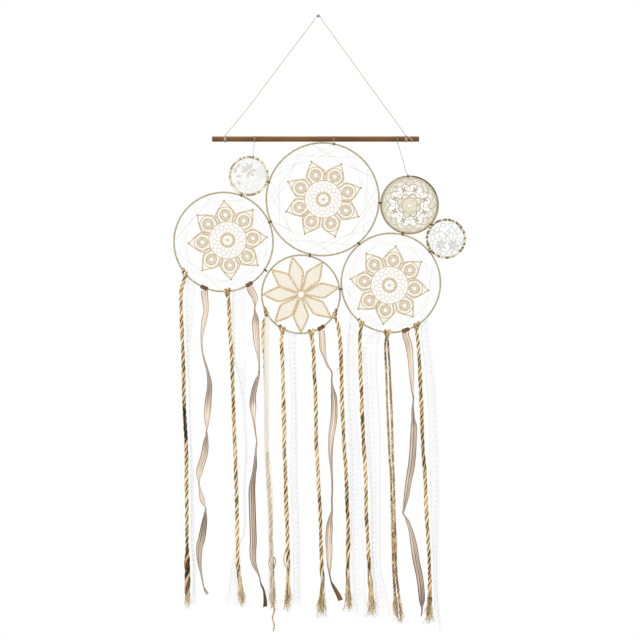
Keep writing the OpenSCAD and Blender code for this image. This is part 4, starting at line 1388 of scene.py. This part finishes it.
def petal(motif, centre, angle, start, length, broad, width=1.3, tone=0.0):
    """A filled petal or leaf of a lace motif."""
    outline = turned(leaf(length, broad), angle, centre + polar(start, angle))
    motif.cord(outline, width, tone=tone)
    half = len(outline) // 2
    motif.fill(outline[:half], outline[half:][::-1], int(length / 1.3), 0.4, 0.85)


def oval(motif, centre, angle, long, broad, width=1.1, tone=0.1):
    """A loop of cord."""
    motif.cord(turned(circle(1.0, 36) * (long, broad), angle, centre), width, tone=tone)


def netting(motif, centre, radius, inside, pitch=2.4):
    """A patch of fine net: threads both ways across a disc, kept inside the ring."""
    for turn in (35, 125):
        for offset in np.arange(-radius, radius + 0.1, pitch):
            run = np.linspace(-1, 1, 40) * math.sqrt(max(radius**2 - offset**2, 0.01))
            points = turned(np.stack([run, np.full(40, offset)], 1), turn, centre)
            kept = points[np.linalg.norm(points, axis=1) < inside]
            if len(kept) > 3:
                motif.line(kept[[0, -1]], 0.2, 0.8)


def finish_motif(motif, where):
    """The ring round a lace motif, the left one's wide net, and the object."""
    motif.line(circle(39.4, 90), 0.6, 0.5)
    if where == "left":
        netting(motif, np.zeros(2), 39.0, 39.2, 4.2)
    name = "lace_motif_" + where
    obj = build(name + "_crochet", motif.parts, MOTIF_COTTON, "hoops", [name])


# Leaves and loops of the two lace motifs: middle, angle, length and, for the loops, breadth
LEFT_LEAVES = [(-28, -1, 5, 12), (-31, 6, 80, 13), (-26, 19, 45, 10), (-25, -11, -60, 10), (-33, -16, -75, 9)]
LEFT_LOOPS = [
    (2, -21, 88, 11, 7.5), (18, -15, 60, 9, 6), (-14, -22, 110, 8, 5.5), (-3, -34, 0, 6, 3.5),
    (14, -31, 20, 6, 3.5), (-16, 31, 30, 6, 4), (14, 32, -20, 7, 4),
]
RIGHT_LOOPS = [
    (-20, 20, 30, 6.5, 5), (-6, 30, 0, 6, 4.5), (-8, 8, 130, 10, 6), (12, 18, 20, 8, 5.5),
    (27, 17, 70, 7, 5), (20, 5, 40, 7, 5), (4, 0, 100, 6, 4), (-29, 2, 90, 8, 4.5),
    (-24, -18, 60, 7, 4.5), (-6, -32, 0, 8, 4), (10, 31, -15, 5, 3.5), (33, -4, 80, 6, 4),
    (-20, 6, 80, 7, 5), (4, 13, 60, 6, 4.5), (-14, -28, 40, 6, 4), (20, -29, 20, 7, 5),
    (30, -18, 60, 7, 4), (-32, -10, 90, 6, 3.5), (7, -30, -10, 5, 4), (-31, 14, 70, 6, 3.5),
]


def make_left_motif():
    """A daisy above the middle, leaves on the left, loops below and a net patch on the right."""
    motif = Crochet(HOOP_C["small_left"])
    daisy = np.array([0.0, 12.5])
    motif.cord(daisy + circle(3.4, 24), 1.6)
    for a in (0, 62, 105, 150, 190, 262, 312):
        petal(motif, daisy, a, 4.2, 13.0, 2.6)
    for x, z, a, long in LEFT_LEAVES:
        petal(motif, np.array([x, z], float), a, 0, long, 2.4)
    for x, z, a, long, broad in LEFT_LOOPS:
        oval(motif, (x, z), a, long, broad)
    netting(motif, np.array([29.0, 8.0]), 15, 39)
    finish_motif(motif, "left")


def make_right_motif():
    """Loops all over, petals at the lower right, and a tuft of loose thread at the upper right."""
    motif = Crochet(HOOP_C["small_right"])
    for x, z, a, long, broad in RIGHT_LOOPS:
        oval(motif, (x, z), a, long, broad, 1.9, 0.0)
    for x, z in ((-10, -14), (16, -14)):
        for a in (45, 100, 150, 210, 265, 330):
            petal(motif, np.array([x, z], float), a + x, 2.5, 10.5, 2.6)
        motif.cord(circle(2.2, 18) + (x, z), 1.2)
    for _ in range(26):
        start = polar(38.5, rng.uniform(25, 62))
        end = start + polar(rng.uniform(3, 9), rng.uniform(-20, 100))
        bend = (start + end) / 2 + rng.normal(0, 1.2, 2)
        motif.line(smooth([start, bend, end], 4), 0.3, 0.4, y=-1.5, step=1.0)
    finish_motif(motif, "right")


make_left_motif()
make_right_motif()
